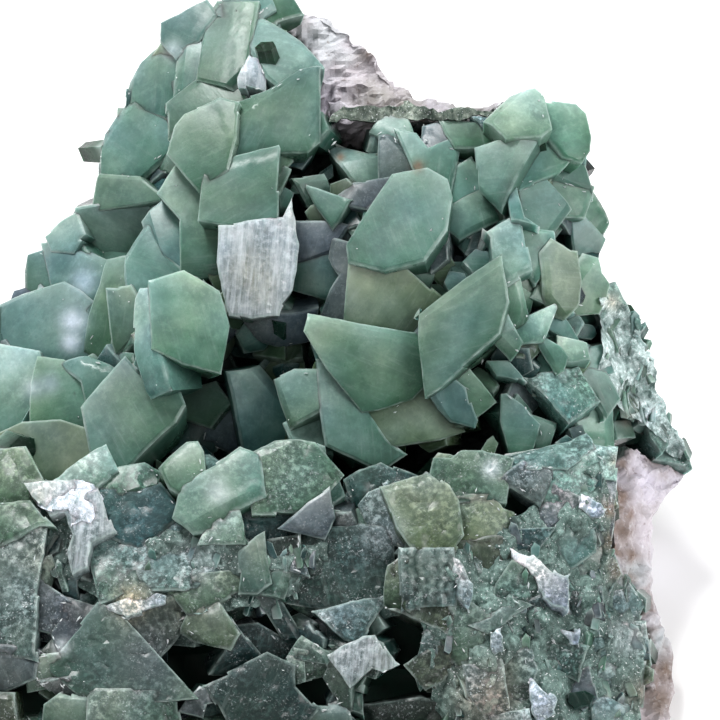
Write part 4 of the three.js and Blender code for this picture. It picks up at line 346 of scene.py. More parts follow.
# Patches of other colour on the crystals, rust stains among them, and pale spots that are painted glints: x,
# y on the face, reach, colour, strength.
PATCHES_AND_PAINTED_GLINTS = (
    (0.1, 10.8, 0.28, (120, 78, 44), 0.85),
    (-1.0, 10.2, 0.22, (120, 78, 44), 0.8),
    (2.9, 9.7, 0.3, (112, 74, 42), 0.9),
    (-9.5, 15.7, 0.5, (205, 218, 218), 0.7),
    (-7.0, -6.5, 0.6, (190, 200, 200), 0.7),
    (6.5, -5.4, 0.4, (214, 222, 226), 0.7),
    (1.2, -8.5, 0.8, (170, 182, 184), 0.6),
    (-14.7, -14.1, 0.35, (216, 224, 226), 0.8),
    (-10.5, -14.6, 1.8, (76, 84, 88), 0.7),
    # Painted highlights: these pale patches on the left flank stand in for glints on its faces.
    (-14.5, 2.0, 0.6, (214, 224, 236), 0.85),
    (-14.6, 0.9, 0.45, (214, 224, 236), 0.8),
    (-14.0, 4.0, 0.6, (190, 210, 224), 0.7),
    (-16.5, -1.4, 0.5, (196, 208, 216), 0.6),
    (-15.6, -1.2, 0.5, (190, 204, 214), 0.5),
    (12.7, -5.0, 0.4, (122, 102, 86), 0.7),
    (12.5, -7.4, 0.5, (116, 92, 74), 0.75),
    (12.3, -9.0, 0.5, (110, 90, 74), 0.7),
    (12.8, -10.4, 0.6, (114, 94, 78), 0.7),
    (14.0, -13.4, 0.5, (150, 146, 140), 0.6),
    (14.0, -16.5, 0.8, (120, 106, 94), 0.6),
    (-2.0, -12.8, 0.5, (170, 180, 182), 0.7),
    (6.2, -16.6, 1.5, (136, 126, 114), 0.65),
    (-17.4, -11.5, 1.2, (120, 134, 130), 0.5),
    (13.4, -13.8, 0.8, (176, 190, 192), 0.6),
    (12.7, 2.9, 0.4, (196, 190, 170), 0.7),
    (14.6, -2.8, 0.5, (190, 206, 214), 0.7),
    (13.4, -3.0, 0.5, (124, 104, 88), 0.6),
    (-11.3, -11.9, 0.7, (212, 200, 168), 0.6),
    (-7.9, -9.7, 0.9, (150, 164, 166), 0.5),
)

# Open clefts between the crystals: x, y on the face, reach.
DARK_GAPS = (
    (-1.2, 10.8, 1.1),
    (10.2, 6.4, 0.5),
    (6.4, -2.8, 0.8),
    (5.4, -3.7, 0.6),
    (2.4, -4.9, 0.9),
    (-0.6, -5.2, 0.6),
    (9.5, -2.9, 1.0),
    (8.0, -7.3, 0.7),
    (-3.8, -8.3, 0.7),
    (-0.5, -7.2, 0.6),
    (-4.5, -13.0, 0.9),
    (-8.0, -14.8, 1.5),
    (-2.2, -16.5, 0.9),
    (2.0, -13.7, 1.1),
    (1.3, -16.7, 1.6),
    (-16.2, -16.9, 0.9),
)


def linear(srgb):
    c = np.asarray(srgb, float) / 255.0
    return np.where(c <= 0.04045, c / 12.92, ((c + 0.055) / 1.055) ** 2.4)


def to_part(points):
    """Points of the crystal face's frame, in millimetres, to metres in the part's frame."""
    x, y, z = np.asarray(points, float).T
    placed = (x + FACE_SHIFT[0], y * SIN - z * COS + FACE_SHIFT[1], y * COS + z * SIN + FACE_HEIGHT)
    return np.stack(placed, axis=1) * MM


def share_of(value):
    return min(max(value, 0), 1)


def wobble(points, scale, seed=0.0):
    """Smooth noise from -1 to 1 at each point."""
    return np.array([noise.noise(Vector((p[0] * scale + seed, p[1] * scale - seed, seed))) for p in points])


def inside(points, ring):
    """Which of the points lie inside the closed ring."""
    hit = np.zeros(len(points), bool)
    x, y = points[:, 0], points[:, 1]
    for (ax, ay), (bx, by) in zip(ring, np.roll(ring, -1, axis=0)):
        if ay == by:
            continue
        crosses = (ay > y) != (by > y)
        hit ^= crosses & (x < (bx - ax) * (y - ay) / (by - ay) + ax)
    return hit


def edge_distance(points, ring):
    """Distance from each point to the nearest side of the ring."""
    best = np.full(len(points), 1e9)
    for a, b in zip(ring, np.roll(ring, -1, axis=0)):
        along = b - a
        share = np.clip(((points - a) @ along) / max(along @ along, 1e-9), 0, 1)
        best = np.minimum(best, np.linalg.norm(points - a - share[:, None] * along, axis=1))
    return best


def add_colours(mesh, key, values):
    layer = mesh.color_attributes.new(key, "FLOAT_COLOR", "POINT")
    rgba = np.concatenate([values, np.ones((len(values), 1))], axis=1)
    layer.data.foreach_set("color", rgba.astype(np.float32).ravel())


class Heap:
    """Closed meshes gathered into one object, with their colours and finish held at the vertices."""

    def __init__(self):
        self.points, self.faces, self.kinds = [], [], []
        self.tint, self.lustre, self.flat = [], [], []
        self.count = 0

    def add(self, points, faces, tint, lustre, flat, kind=0):
        self.points.append(to_part(points))
        self.faces.extend(tuple(int(i) + self.count for i in f) for f in faces)
        self.kinds.extend([kind] * len(faces))
        self.tint.append(np.broadcast_to(tint, (len(points), 3)))
        self.lustre.append(np.broadcast_to(lustre, (len(points), 3)))
        self.flat.append(np.broadcast_to(flat, (len(points), 3)))
        self.count += len(points)

    def build(self, name, materials):
        mesh = bpy.data.meshes.new(name)
        points = np.concatenate(self.points)
        points[:, 2] = np.maximum(points[:, 2], 0.0)
        mesh.from_pydata(points.tolist(), [], self.faces)
        mesh.polygons.foreach_set("material_index", self.kinds)
        for key, rows in (("tint", self.tint), ("lustre", self.lustre)):
            add_colours(mesh, key, np.concatenate(rows))
        layer = mesh.attributes.new("flat", "FLOAT_VECTOR", "POINT")
        layer.data.foreach_set("vector", np.concatenate(self.flat).astype(np.float32).ravel())
        mesh.set_sharp_from_angle(angle=math.radians(24))
        mesh.update()
        piece = bpy.data.objects.new(name, mesh)
        bpy.context.scene.collection.objects.link(piece)
        for material in materials:
            mesh.materials.append(material)
        return piece


# Faces stand a little steeper here than in the rows.
STEEPER = 1.2

# The ledge in front lies below this y, and its ground is finer to the right of this x.
LEDGE_TOP, FINE_GROUND = -5, 3

# Raggedness of a tablet's outline, by look, and of those not listed.
FRAY = {"s": 0.16, "f": 0.06, "w": 0.06, "r": 0.06}
CLEAN_FRAY = 0.022

# Looks whose sides are never bevelled, the frost above which a face is chipped, and the pearly face's steps.
UNCUT_LOOKS = "wsrk"
CHIPPED = 0.3
PEARL_STEPS = (-0.3, -0.12, 0.02, 0.14, 0.27)

# The side of each face toward the light, along which its edge band is painted lighter, and the row spacing of
# even triangles.
PAINTED_LIGHT_SIDE = np.array([-0.5, 0.86])
ROW_SPACING = 0.87


def anticlockwise(ring):
    twice_area = np.sum(ring[:, 0] * np.roll(ring[:, 1], -1) - np.roll(ring[:, 0], -1) * ring[:, 1])
    return ring[::-1] if twice_area < 0 else ring


def crystal_rows(rows):
    """Each row of a table with its slopes made steeper and its outline as points."""
    for look, depth, slope_x, slope_y, thickness, flat in rows:
        slope_x, slope_y = slope_x * STEEPER, slope_y * STEEPER
        ring = np.array(flat, float).reshape(-1, 2)
        depth += 0.3 if look == "s" else 0.0
        slope_y += 0.2 * share_of((-11 - ring[:, 1].mean()) / 3)
        yield look, depth, slope_x, slope_y, thickness, anticlockwise(ring)


def outline(ring, pitch):
    """The ring with points added along its sides."""
    points = []
    for a, b in zip(ring, np.roll(ring, -1, axis=0)):
        steps = max(1, round(np.linalg.norm(b - a) / pitch))
        points.extend(a + (b - a) * (i / steps) for i in range(steps))
    return np.array(points)


def inward(border):
    tangent = np.roll(border, -1, axis=0) - np.roll(border, 1, axis=0)
    tangent /= np.maximum(np.linalg.norm(tangent, axis=1), 1e-6)[:, None]
    return np.column_stack([-tangent[:, 1], tangent[:, 0]])


def marked(tint, points):
    """The colours with the patches and painted glints laid over them."""
    for x, y, reach, spot, strength in PATCHES_AND_PAINTED_GLINTS:
        share = strength * np.exp(-(((points[:, 0] - x) ** 2 + (points[:, 1] - y) ** 2) / reach**2))
        if share.max() > 0.02:
            tint = tint * (1 - share[:, None]) + linear(spot) * share[:, None]
    return tint


def notched(ring, sides, rng):
    """The ring with small steps in some of its longer sides, and which sides may still be bevelled."""
    points, free = [], []
    for i, (a, b) in enumerate(zip(ring, np.roll(ring, -1, axis=0))):
        length = np.linalg.norm(b - a)
        if sides is None or i in sides:
            free.append(len(points))
        points.append(a)
        if length > 1.1 and rng.random() < (0.12 if a[1] > LEDGE_TOP else 0.35):
            step = a + (b - a) * rng.uniform(0.3, 0.75)
            across = np.array((a[1] - b[1], b[0] - a[0])) / length
            points.extend((step, step + across * rng.uniform(0.05, 0.15)))
    return np.array(points), free


def triangle_grid(lo, hi, pitch, jitter, rng):
    """Points in staggered rows over a box, each moved a little."""
    gx, gy = np.meshgrid(np.arange(lo[0], hi[0], pitch), np.arange(lo[1], hi[1], pitch * ROW_SPACING))
    gx[1::2] += pitch / 2
    grid = np.stack([gx.ravel(), gy.ravel()], axis=1)
    moves = [(rng.uniform(-jitter, jitter), rng.uniform(-jitter, jitter)) for _ in grid]
    return grid + np.array(moves).reshape(-1, 2) * pitch


def triangulated(points, edges, count, tolerance):
    """The outline of the first points, cut into triangles: plan, triangles and the outline's places."""
    cut = delaunay_2d_cdt([Vector(p) for p in points], edges, [list(range(count))], 1, tolerance)
    plan = np.array([tuple(v) for v in cut[0]])
    place = {source: index for index, sources in enumerate(cut[3]) for source in sources}
    return plan, cut[2], [place[i] for i in range(count)]


class Tablet:
    """A tabular crystal: a bevelled outer face with growth steps, and a root that narrows inwards."""

    def __init__(self, look, ring, rng, pitch, sides, in_place):
        self.look, self.rng, self.pitch, self.in_place = look, rng, pitch, in_place
        self.colour, self.pearl, self.frost, self.ribs = LOOKS[look]
        if in_place and ring[:, 1].mean() < LEDGE_TOP:
            fine = 0.25 if ring[:, 0].mean() > FINE_GROUND else 0
            self.frost = min(1.0, self.frost + rng.uniform(0.1, 0.6) + fine)
        self.seed = rng.uniform(0, 90)
        self.ring, self.sides = notched(ring, sides, rng)
        self.lo, self.hi = self.ring.min(axis=0), self.ring.max(axis=0)
        wide, high = self.hi - self.lo
        self.size = math.sqrt(max(wide * high, 0.2))
        after = np.roll(self.ring, -1, axis=0)
        self.length = np.linalg.norm(after - self.ring, axis=1)
        self.side_along = (after - self.ring) / self.length[:, None]
        self.side_in = np.column_stack([self.ring[:, 1] - after[:, 1], after[:, 0] - self.ring[:, 0]])
        self.side_in = self.side_in / self.length[:, None]
        border = outline(self.ring, pitch)
        self.middle = border.mean(axis=0)
        fray = FRAY.get(look, CLEAN_FRAY)
        self.border = border + inward(border) * (fray * (1 + wobble(border, 2.6, self.seed)))[:, None]
        self.bevel = min(0.12, 0.04 * self.size) * rng.uniform(0.7, 1.3)

    def noise(self, scale, shift):
        return wobble(self.plan, scale, self.seed + shift)

    def mesh_face(self):
        """Cut the outer face into triangles, with the lines where its bevels begin."""
        border, bevel, pitch = self.border, self.bevel, self.pitch
        shoulder = border + inward(border) * bevel
        shoulder = shoulder[inside(shoulder, border)]
        if len(shoulder):
            shoulder = shoulder[edge_distance(shoulder, border) > 0.8 * bevel]
        grid = triangle_grid(self.lo, self.hi, pitch, 0.2, self.rng)
        grid = grid[inside(grid, border)]
        if len(grid):
            grid = grid[edge_distance(grid, border) > bevel + 0.5 * pitch]
        self.choose_cuts()
        creases, edges = [], []
        start = len(border) + len(shoulder) + len(grid)
        for i, width, _ in self.cuts:
            reach = np.arange(-self.size, self.length[i] + self.size, pitch)[:, None]
            line = self.ring[i] + self.side_in[i] * width + self.side_along[i] * reach
            line = line[inside(line, border)]
            if len(line):
                line = line[edge_distance(line, border) > 0.06]
            for k in range(len(line) - 1):
                if np.linalg.norm(line[k + 1] - line[k]) < 1.5 * pitch:
                    edges.append((start + len(creases) + k, start + len(creases) + k + 1))
            creases.extend(line)
        points = (*border, *shoulder, *grid, *creases)
        self.plan, self.triangles, self.rim = triangulated(points, edges, len(border), 1e-5)
        self.offset = self.plan - self.middle
        self.gap = edge_distance(self.plan, border)

    def choose_cuts(self):
        """Sides to bevel: which side, how wide, how steep."""
        rng = self.rng
        sides = [i for i in self.sides if self.length[i] > 0.3 * self.size]
        rng.shuffle(sides)
        self.cuts = []
        if self.look not in UNCUT_LOOKS and self.size > 0.8:
            for i in sides[: rng.choice((0, 1, 1, 2))]:
                width = rng.uniform(0.06, 0.22) * min(self.size, 3.0)
                self.cuts.append((i, width, rng.uniform(0.3, 0.9)))

    def relief(self):
        """How far each point of the face stands off its plane."""
        rng, size, offset = self.rng, self.size, self.offset
        lift = -0.8 * self.bevel * np.clip(1 - self.gap / self.bevel, 0, 1)
        lift += rng.uniform(0.01, 0.075) * size * (1 - (np.linalg.norm(offset, axis=1) / (0.6 * size)) ** 2)
        for i, width, steep in self.cuts:
            lift -= steep * np.clip(width - (self.plan - self.ring[i]) @ self.side_in[i], 0, None)
        along = -offset @ self.side_in[rng.randrange(len(self.ring))]
        wave = self.noise(1.1, 7) * 0.16 + self.noise(3.4, 3) * 0.05
        for _ in range(rng.choice((0, 1, 1, 2, 3)) + (2 if self.frost > CHIPPED else 0)):
            at = rng.uniform(-0.45, 0.5) * size
            lift -= rng.uniform(0.015, 0.06) * np.clip((along + wave - at) / 0.06, 0, 1)
        if self.look == "w":
            lift += 0.35
            across = offset[:, 0] + 0.5 * wave - 0.1 * offset[:, 1]
            for at in PEARL_STEPS:
                lift -= 0.09 * np.clip((across - at * size) / 0.05, 0, 1)
        if self.frost > CHIPPED and self.look not in "sw":
            chipped = np.clip((self.noise(1.3, 21) - 0.12) / 0.12, 0, 1)
            lift -= 0.1 * chipped * (1 + self.noise(3.0, 2))
        self.stripes = np.sin(self.plan[:, 0] * 13 + 2.2 * self.noise(0.9, 0)) * self.ribs
        lift += 0.07 * self.stripes
        return lift + self.noise(5.0, 11) * (0.004 + 0.02 * self.frost)

    def body(self, depth, slope, thickness):
        """Points and faces of the whole crystal, and how many points are on its outer face."""
        normal = np.array([-slope[0], -slope[1], 1.0])
        normal /= np.linalg.norm(normal)
        layers = [np.column_stack([self.plan, depth + self.offset @ slope]) + self.relief()[:, None] * normal]
        for share, drop in ((0.985, min(0.6, 0.3 * thickness)), (0.86, thickness)):
            spread = (self.plan[self.rim] - self.middle) * share
            layers.append(np.column_stack([self.middle + spread, depth + spread @ slope]) - normal * drop)
        first, count, rim = len(layers[0]), len(self.rim), self.rim
        faces = [tuple(t) for t in self.triangles]
        for i in range(count):
            j = (i + 1) % count
            faces.append((first + i, first + j, rim[j], rim[i]))
            faces.append((first + count + i, first + count + j, first + j, first + i))
        faces.append(tuple(first + count + i for i in reversed(range(count))))
        return np.concatenate(layers), faces, first

    def tint(self, face, shade):
        """Colours of the outer face, then of the two rings of points below it, with painted light and shade.
        """
        rng, offset, middle = self.rng, self.offset, self.middle
        on_ledge = self.in_place and middle[1] < LEDGE_TOP
        base = linear(self.colour) * rng.uniform(0.84, 1.14) * shade
        if on_ledge and self.look != "s":
            base = base + (base.mean() - base) * 0.15
        base = base * np.array([rng.uniform(0.93, 1.06), 1.0, rng.uniform(0.94, 1.06)])
        # Painted light: each face is lighter towards its top, as if lit from above, more strongly on the
        # ledge in front; ribbed faces are lighter on their ridges.
        lean = math.pi / 2 + rng.uniform(-0.9, 0.9)
        upper = middle[1] > LEDGE_TOP or not self.in_place
        strength = rng.uniform(0.3, 0.8) if upper else rng.uniform(0.6, 1.1)
        across = offset @ np.array([math.cos(lean), math.sin(lean)])
        fade = 1 + 0.5 * self.stripes + strength * across / self.size
        # Painted light: the band along each edge is lighter on the side toward the light and darker on the
        # far side.
        facing = offset @ PAINTED_LIGHT_SIDE / np.maximum(np.linalg.norm(offset, axis=1), 0.2)
        fade = fade * (1 + 0.28 * facing * np.exp(-((self.gap / 0.45) ** 2)))
        fade = np.clip(fade + 0.26 * self.noise(0.55, 5) + 0.16 * self.noise(1.5, 8), 0.3, 1.8)
        if self.in_place:
            left_lobe = share_of((middle[1] + 4) / 3) * share_of((-6 - middle[0]) / 3)
            # Painted shade: darker where the face lies down among its neighbours, less so on the left lobe.
            fade = fade * (1 - (0.62 - 0.3 * left_lobe) * recess(face))
            # Painted light and shade: the left lobe is lighter, and faces are darker towards the bottom,
            # which turns away from the light.
            base = base * (1 + 0.06 * left_lobe) * (1 - 0.36 * share_of((-6 - middle[1]) / 6))
            # Lighter towards the right.
            base = base * (1 + 0.4 * share_of((middle[0] - 7) / 5))
            # Painted shade: a darker pocket low in the middle of the front.
            from_shade = ((middle[0] + 5) / 4) ** 2 + ((middle[1] + 16) / 2.5) ** 2
            base = base * (1 - 0.3 * math.exp(-from_shade))
        hue = base / base.max()
        count = len(self.rim)
        # Painted shade: the sides are darker down to the root, and greener the darker they are.
        dim = np.concatenate([fade, np.full(count, 0.55), np.full(count, 0.1)])
        tint = base.max() * dim[:, None] * hue[None] ** (1 + 0.7 * np.maximum(-np.log2(dim), -0.5))[:, None]
        tint[: len(fade)] *= 1 + self.noise(0.45, 13)[:, None] * np.array([0.12, 0.02, -0.12])
        return tint

    def lustre(self, first):
        """Pearl, frost and nearness to the rim, which sets the painted rim light."""
        rimness = np.clip(1 - self.gap / self.bevel, 0, 1)
        face = np.column_stack([np.full(first, self.pearl), np.full(first, self.frost), rimness])
        return np.concatenate([face, np.tile((0.0, self.frost, 0.0), (2 * len(self.rim), 1))])

    def grain(self, points):
        """Places on the face, turned to the direction of its grain."""
        turn = self.rng.uniform(0, math.pi) if self.look != "w" else 1.5
        x, y = (points[:, :2] - self.middle).T
        cos, sin = math.cos(turn), math.sin(turn)
        return np.column_stack([x * cos + y * sin, y * cos - x * sin, np.full(len(points), self.seed)])


def tablet(
    heap, look, depth, slope_x, slope_y, thickness, ring, rng, pitch, shade=1.0, axes=None, sides=None
):
    """Add a tablet, in the crystal face's frame or in axes of its own."""
    crystal = Tablet(look, ring, rng, pitch, sides, axes is None)
    crystal.mesh_face()
    points, faces, first = crystal.body(depth, np.array([slope_x, slope_y]), thickness)
    tint = crystal.tint(points[:first], shade)
    grain = crystal.grain(points)
    if axes is not None:
        origin, directions = axes
        points = origin + points @ directions
    tint[:first] = marked(tint[:first], points[:first])
    heap.add(points, faces, tint, crystal.lustre(first), grain)


def sliver(heap, spot, heading, length, width, colour, rng):
    """A thin flake lying on a face, painted bright as a glint."""
    heading = np.asarray(heading, float) / np.linalg.norm(heading)
    side = np.cross((0, 0, 1), heading)
    side /= np.linalg.norm(side)
    spot = np.asarray(spot, float)
    a = spot - heading * length / 2
    b = spot + heading * length / 2
    c = spot + side * width * rng.uniform(0.4, 0.8) + heading * length * rng.uniform(-0.2, 0.2)
    d = spot - side * width * rng.uniform(0.4, 0.8) + heading * length * rng.uniform(-0.2, 0.2)
    rise = np.array((0, 0, 0.03))
    points = np.array([a, d + rise, b, c + rise, spot - rise * 3])
    faces = [(0, 1, 3), (1, 2, 3), (1, 0, 4), (2, 1, 4), (3, 2, 4), (0, 3, 4)]
    heap.add(points, faces, linear(colour), (0.5, 0.0, 0.4), (rng.uniform(0, 9), rng.uniform(0, 9), 0.0))


DRUSES = {
    "left_druse": LEFT_CRYSTALS + CLEFT_CRYSTALS,
    "right_druse": RIGHT_CRYSTALS,
    "front_druse": FRONT_CRYSTALS + FOOT_CRYSTALS,
}
ALL_CRYSTALS = [row for rows in DRUSES.values() for row in crystal_rows(rows)]
CENTRES = np.array([row[5].mean(axis=0) for row in ALL_CRYSTALS])
DEPTHS = np.array([row[1] for row in ALL_CRYSTALS])


def swell(points):
    """Depth of the crust, smoothed over the crystals, at each x, y."""
    gaps = np.linalg.norm(points[:, None, :] - CENTRES[None], axis=2)
    weight = 1 / (gaps**2 + 0.6) ** 2
    return (weight * DEPTHS).sum(axis=1) / weight.sum(axis=1), gaps.min(axis=1)


def swell_slope(x, y):
    step = 1.2
    probe = np.array([(x - step, y), (x + step, y), (x, y - step), (x, y + step)])
    z, _ = swell(probe)
    return (z[1] - z[0]) / (2 * step), (z[3] - z[2]) / (2 * step)


# A plan of the crystal face in small cells: the topmost crystal over each cell, and its depth there.
CELL = 0.1
PLAN_CORNER = np.array((-23.5, -24.0))
PLAN_SIZE = (440, 430)

# The depth given to a cell with no crystal over it, and one that only such cells lie below.
EMPTY, BARE = -99.0, -50


def cells_of(points):
    at = ((np.atleast_2d(points) - PLAN_CORNER) / CELL).astype(int)
    return np.clip(at[:, 1], 0, PLAN_SIZE[0] - 1), np.clip(at[:, 0], 0, PLAN_SIZE[1] - 1)


def survey():
    """The plan: each cell's depth, and which crystal it belongs to."""
    top = np.full(PLAN_SIZE, EMPTY)
    owner = np.full(PLAN_SIZE, -1)
    gy, gx = np.mgrid[0 : PLAN_SIZE[0], 0 : PLAN_SIZE[1]]
    spots = np.stack([gx, gy], axis=2) * CELL + PLAN_CORNER + CELL / 2
    for index, (_, depth, slope_x, slope_y, _, ring) in enumerate(ALL_CRYSTALS):
        rows, columns = cells_of(np.array([ring.min(axis=0), ring.max(axis=0)]))
        window = (slice(rows[0], rows[1] + 1), slice(columns[0], columns[1] + 1))
        some = spots[window].reshape(-1, 2)
        z = depth + (some - ring.mean(axis=0)) @ np.array([slope_x, slope_y])
        z = np.where(inside(some, ring), z, EMPTY).reshape(top[window].shape)
        wins = z > top[window]
        top[window] = np.where(wins, z, top[window])
        owner[window] = np.where(wins, index, owner[window])
    return top, owner


TOP, OWNER = survey()


def grown(mask, steps):
    """The mask spread by some cells to every side."""
    for _ in range(steps):
        wide = mask.copy()
        wide[1:] |= mask[:-1]
        wide[:-1] |= mask[1:]
        wide[:, 1:] |= mask[:, :-1]
        wide[:, :-1] |= mask[:, 1:]
        mask = wide
    return mask


# The crust with the gaps between its crystals closed, and the gaps that are wide enough to be clefts.
CRUST = ~grown(~grown(OWNER >= 0, 14), 16)
CLEFTS = CRUST & ~grown(OWNER >= 0, 3)


def face_depth(points):
    return TOP[cells_of(points)]


def recess(points):
    """How far each point lies down among the faces around it, from 0 to 1, by which shade is painted into
    recesses.
    """
    total = np.zeros(len(points))
    reaches, turns = (0.35, 0.8, 1.5), 8
    for reach in reaches:
        for turn in range(turns):
            step = np.array((math.cos(turn * math.pi / 4), math.sin(turn * math.pi / 4))) * reach
            total += np.clip((TOP[cells_of(points[:, :2] + step)] - points[:, 2]) / reach, 0, 1)
    return total / (len(reaches) * turns)


# How many places along a crystal's side are tried, and how far out from it, in millimetres.
SIDE_PLACES = 13
SIDE_STEPS = (0.7, 0.6, 0.5, 0.4, 0.3, 0.2, 0.1)


def tucked(index):
    """Outline of a crystal with each side moved out until it passes under or meets the crystal next to it."""
    look, depth, slope_x, slope_y, _, ring = ALL_CRYSTALS[index]
    if look in "sw":
        return ring, list(range(len(ring)))
    slope = np.array([slope_x, slope_y])
    middle = ring.mean(axis=0)
    after = np.roll(ring, -1, axis=0)
    along = (after - ring) / np.linalg.norm(after - ring, axis=1)[:, None]
    out = np.column_stack([along[:, 1], -along[:, 0]])
    reach, free = [], []
    for i, (a, b, side) in enumerate(zip(ring, after, out)):
        along_side = a + (b - a) * np.linspace(0.1, 0.9, SIDE_PLACES)[:, None]
        gap = np.full(SIDE_PLACES, np.nan)
        under = np.zeros(SIDE_PLACES, bool)
        for step in SIDE_STEPS:
            probe = along_side + side * step
            where = cells_of(probe)
            other = (OWNER[where] >= 0) & (OWNER[where] != index)
            gap = np.where(other, step, gap)
            under = np.where(other, TOP[where] > depth + (probe - middle) @ slope - 0.08, under)
        met = ~np.isnan(gap)
        outer = (a + b) / 2 + side * 0.4
        if any((outer[0] - x) ** 2 + (outer[1] - y) ** 2 < r * r for x, y, r in DARK_GAPS):
            met[:] = False
        if met.mean() < 0.4 or not under[met].mean() > 0.5:
            free.append(i)
        if met.mean() < 0.4:
            reach.append(0.0)
        elif under[met].mean() > 0.5:
            reach.append(float(np.nanmedian(gap)) + 0.3)
        else:
            reach.append(max(float(np.nanpercentile(gap, 30)) - 0.06, 0.0))
    moved = []
    for i, corner in enumerate(ring):
        j = i - 1
        p, q = corner + out[j] * reach[j], corner + out[i] * reach[i]
        turn = along[j, 0] * along[i, 1] - along[j, 1] * along[i, 0]
        if abs(turn) < 0.25:
            moved.append((p + q) / 2)
            continue
        far = ((q - p)[0] * along[i, 1] - (q - p)[1] * along[i, 0]) / turn
        spot = p + along[j] * far
        push = spot - corner
        length = np.linalg.norm(push)
        moved.append(corner + push * min(1.0, 0.9 / max(length, 1e-6)))
    return np.array(moved), free


def loose_outline(size, rng):
    a, b = size / 2, size / 2 * rng.uniform(0.5, 0.95)
    shape = [(-a, -0.3 * b), (-0.5 * a, -b), (0.55 * a, -0.95 * b)]
    shape += [(a, 0.1 * b), (0.5 * a, b), (-0.75 * a, 0.7 * b)]
    if rng.random() < 0.5:
        shape = [(-a, -0.2 * b), (0.1 * a, -b), (a, 0.15 * b), (-0.2 * a, b)]
    shape = np.array([(x * rng.uniform(0.8, 1.2), y * rng.uniform(0.8, 1.2)) for x, y in shape])
    turn = rng.uniform(0, 2 * math.pi)
    return shape @ np.array([(math.cos(turn), math.sin(turn)), (-math.sin(turn), math.cos(turn))])


# How often a place for a smaller tablet is tried, the flakes on each lobe, and their bright colour, a painted
# glint.
TRIES = 9000
GLINTS = {"left_druse": 130, "right_druse": 130, "front_druse": 420}
GLINT_COLOUR = (214, 226, 226)


def understory(heap, name, first, count, rng):
    """Smaller tablets grown under and between the crystals of one lobe."""
    own = grown((OWNER >= first) & (OWNER < first + count), 3)
    own |= grown(own, 10) & CLEFTS
    rows, columns = np.nonzero(own)
    taken = np.zeros((0, 2))
    for _ in range(TRIES):
        pick = rng.randrange(len(rows))
        spot = PLAN_CORNER + (np.array((columns[pick], rows[pick])) + 0.5) * CELL
        fine = name == "front_druse" and spot[0] > 2
        if len(taken) and np.min(np.hypot(*(taken - spot).T)) < (0.6 if fine else 0.85):
            continue
        if any((spot[0] - x) ** 2 + (spot[1] - y) ** 2 < (r + 0.4) ** 2 for x, y, r in DARK_GAPS):
            continue
        taken = np.concatenate([taken, spot[None]])
        ring = spot + loose_outline(rng.uniform(0.9, 1.7) if fine else rng.uniform(1.2, 2.5), rng)
        if not own[cells_of(ring)].all():
            continue
        sx, sy = swell_slope(*spot)
        slope = np.array((sx + rng.uniform(-0.6, 0.6), sy + rng.uniform(-0.6, 0.6)))
        in_cleft = CLEFTS[cells_of(spot)][0]
        depth = float(swell(spot[None])[0][0]) - rng.uniform(0.1, 0.8) - (0.9 if in_cleft else 0)
        border = outline(ring, 0.3)
        probe = np.concatenate([border, spot + (border - spot) * 0.66, spot + (border - spot) * 0.33])
        over = depth + (probe - spot) @ slope - face_depth(probe) + 0.12
        over = over[over < 90]
        if len(over):
            depth -= max(0.0, over.max())
        look = rng.choice("vvttgb" if in_cleft else "ggbbpyvtto")
        tablet(heap, look, depth, *slope, rng.uniform(1.4, 2.2), ring, rng, 0.3, rng.uniform(0.7, 1.0))


def glints(heap, name, rng):
    """Flakes on the edges and faces of one lobe, painted bright as cleavage glints."""
    rows = list(crystal_rows(DRUSES[name]))
    for _ in range(GLINTS[name]):
        _, depth, slope_x, slope_y, _, ring = rng.choice(rows)
        i = rng.randrange(len(ring))
        a, b = ring[i], ring[(i + 1) % len(ring)]
        spot = a + (b - a) * rng.uniform(0.05, 0.95)
        spot = spot + (ring.mean(axis=0) - spot) * rng.uniform(0.02, 0.35)
        z = depth + (spot - ring.mean(axis=0)) @ np.array([slope_x, slope_y])
        if face_depth(spot)[0] > z + 0.05:
            continue
        heading = (b - a) if rng.random() < 0.7 else np.array((rng.uniform(-1, 1), rng.uniform(-1, 1)))
        heading = heading / np.linalg.norm(heading)
        rise = heading @ np.array([slope_x, slope_y])
        length = 0.06 + rng.uniform(0, 0.6) ** 2
        width = rng.uniform(0.03, 0.08)
        sliver(heap, (*spot, z + 0.015), (*heading, rise), length, width, GLINT_COLOUR, rng)


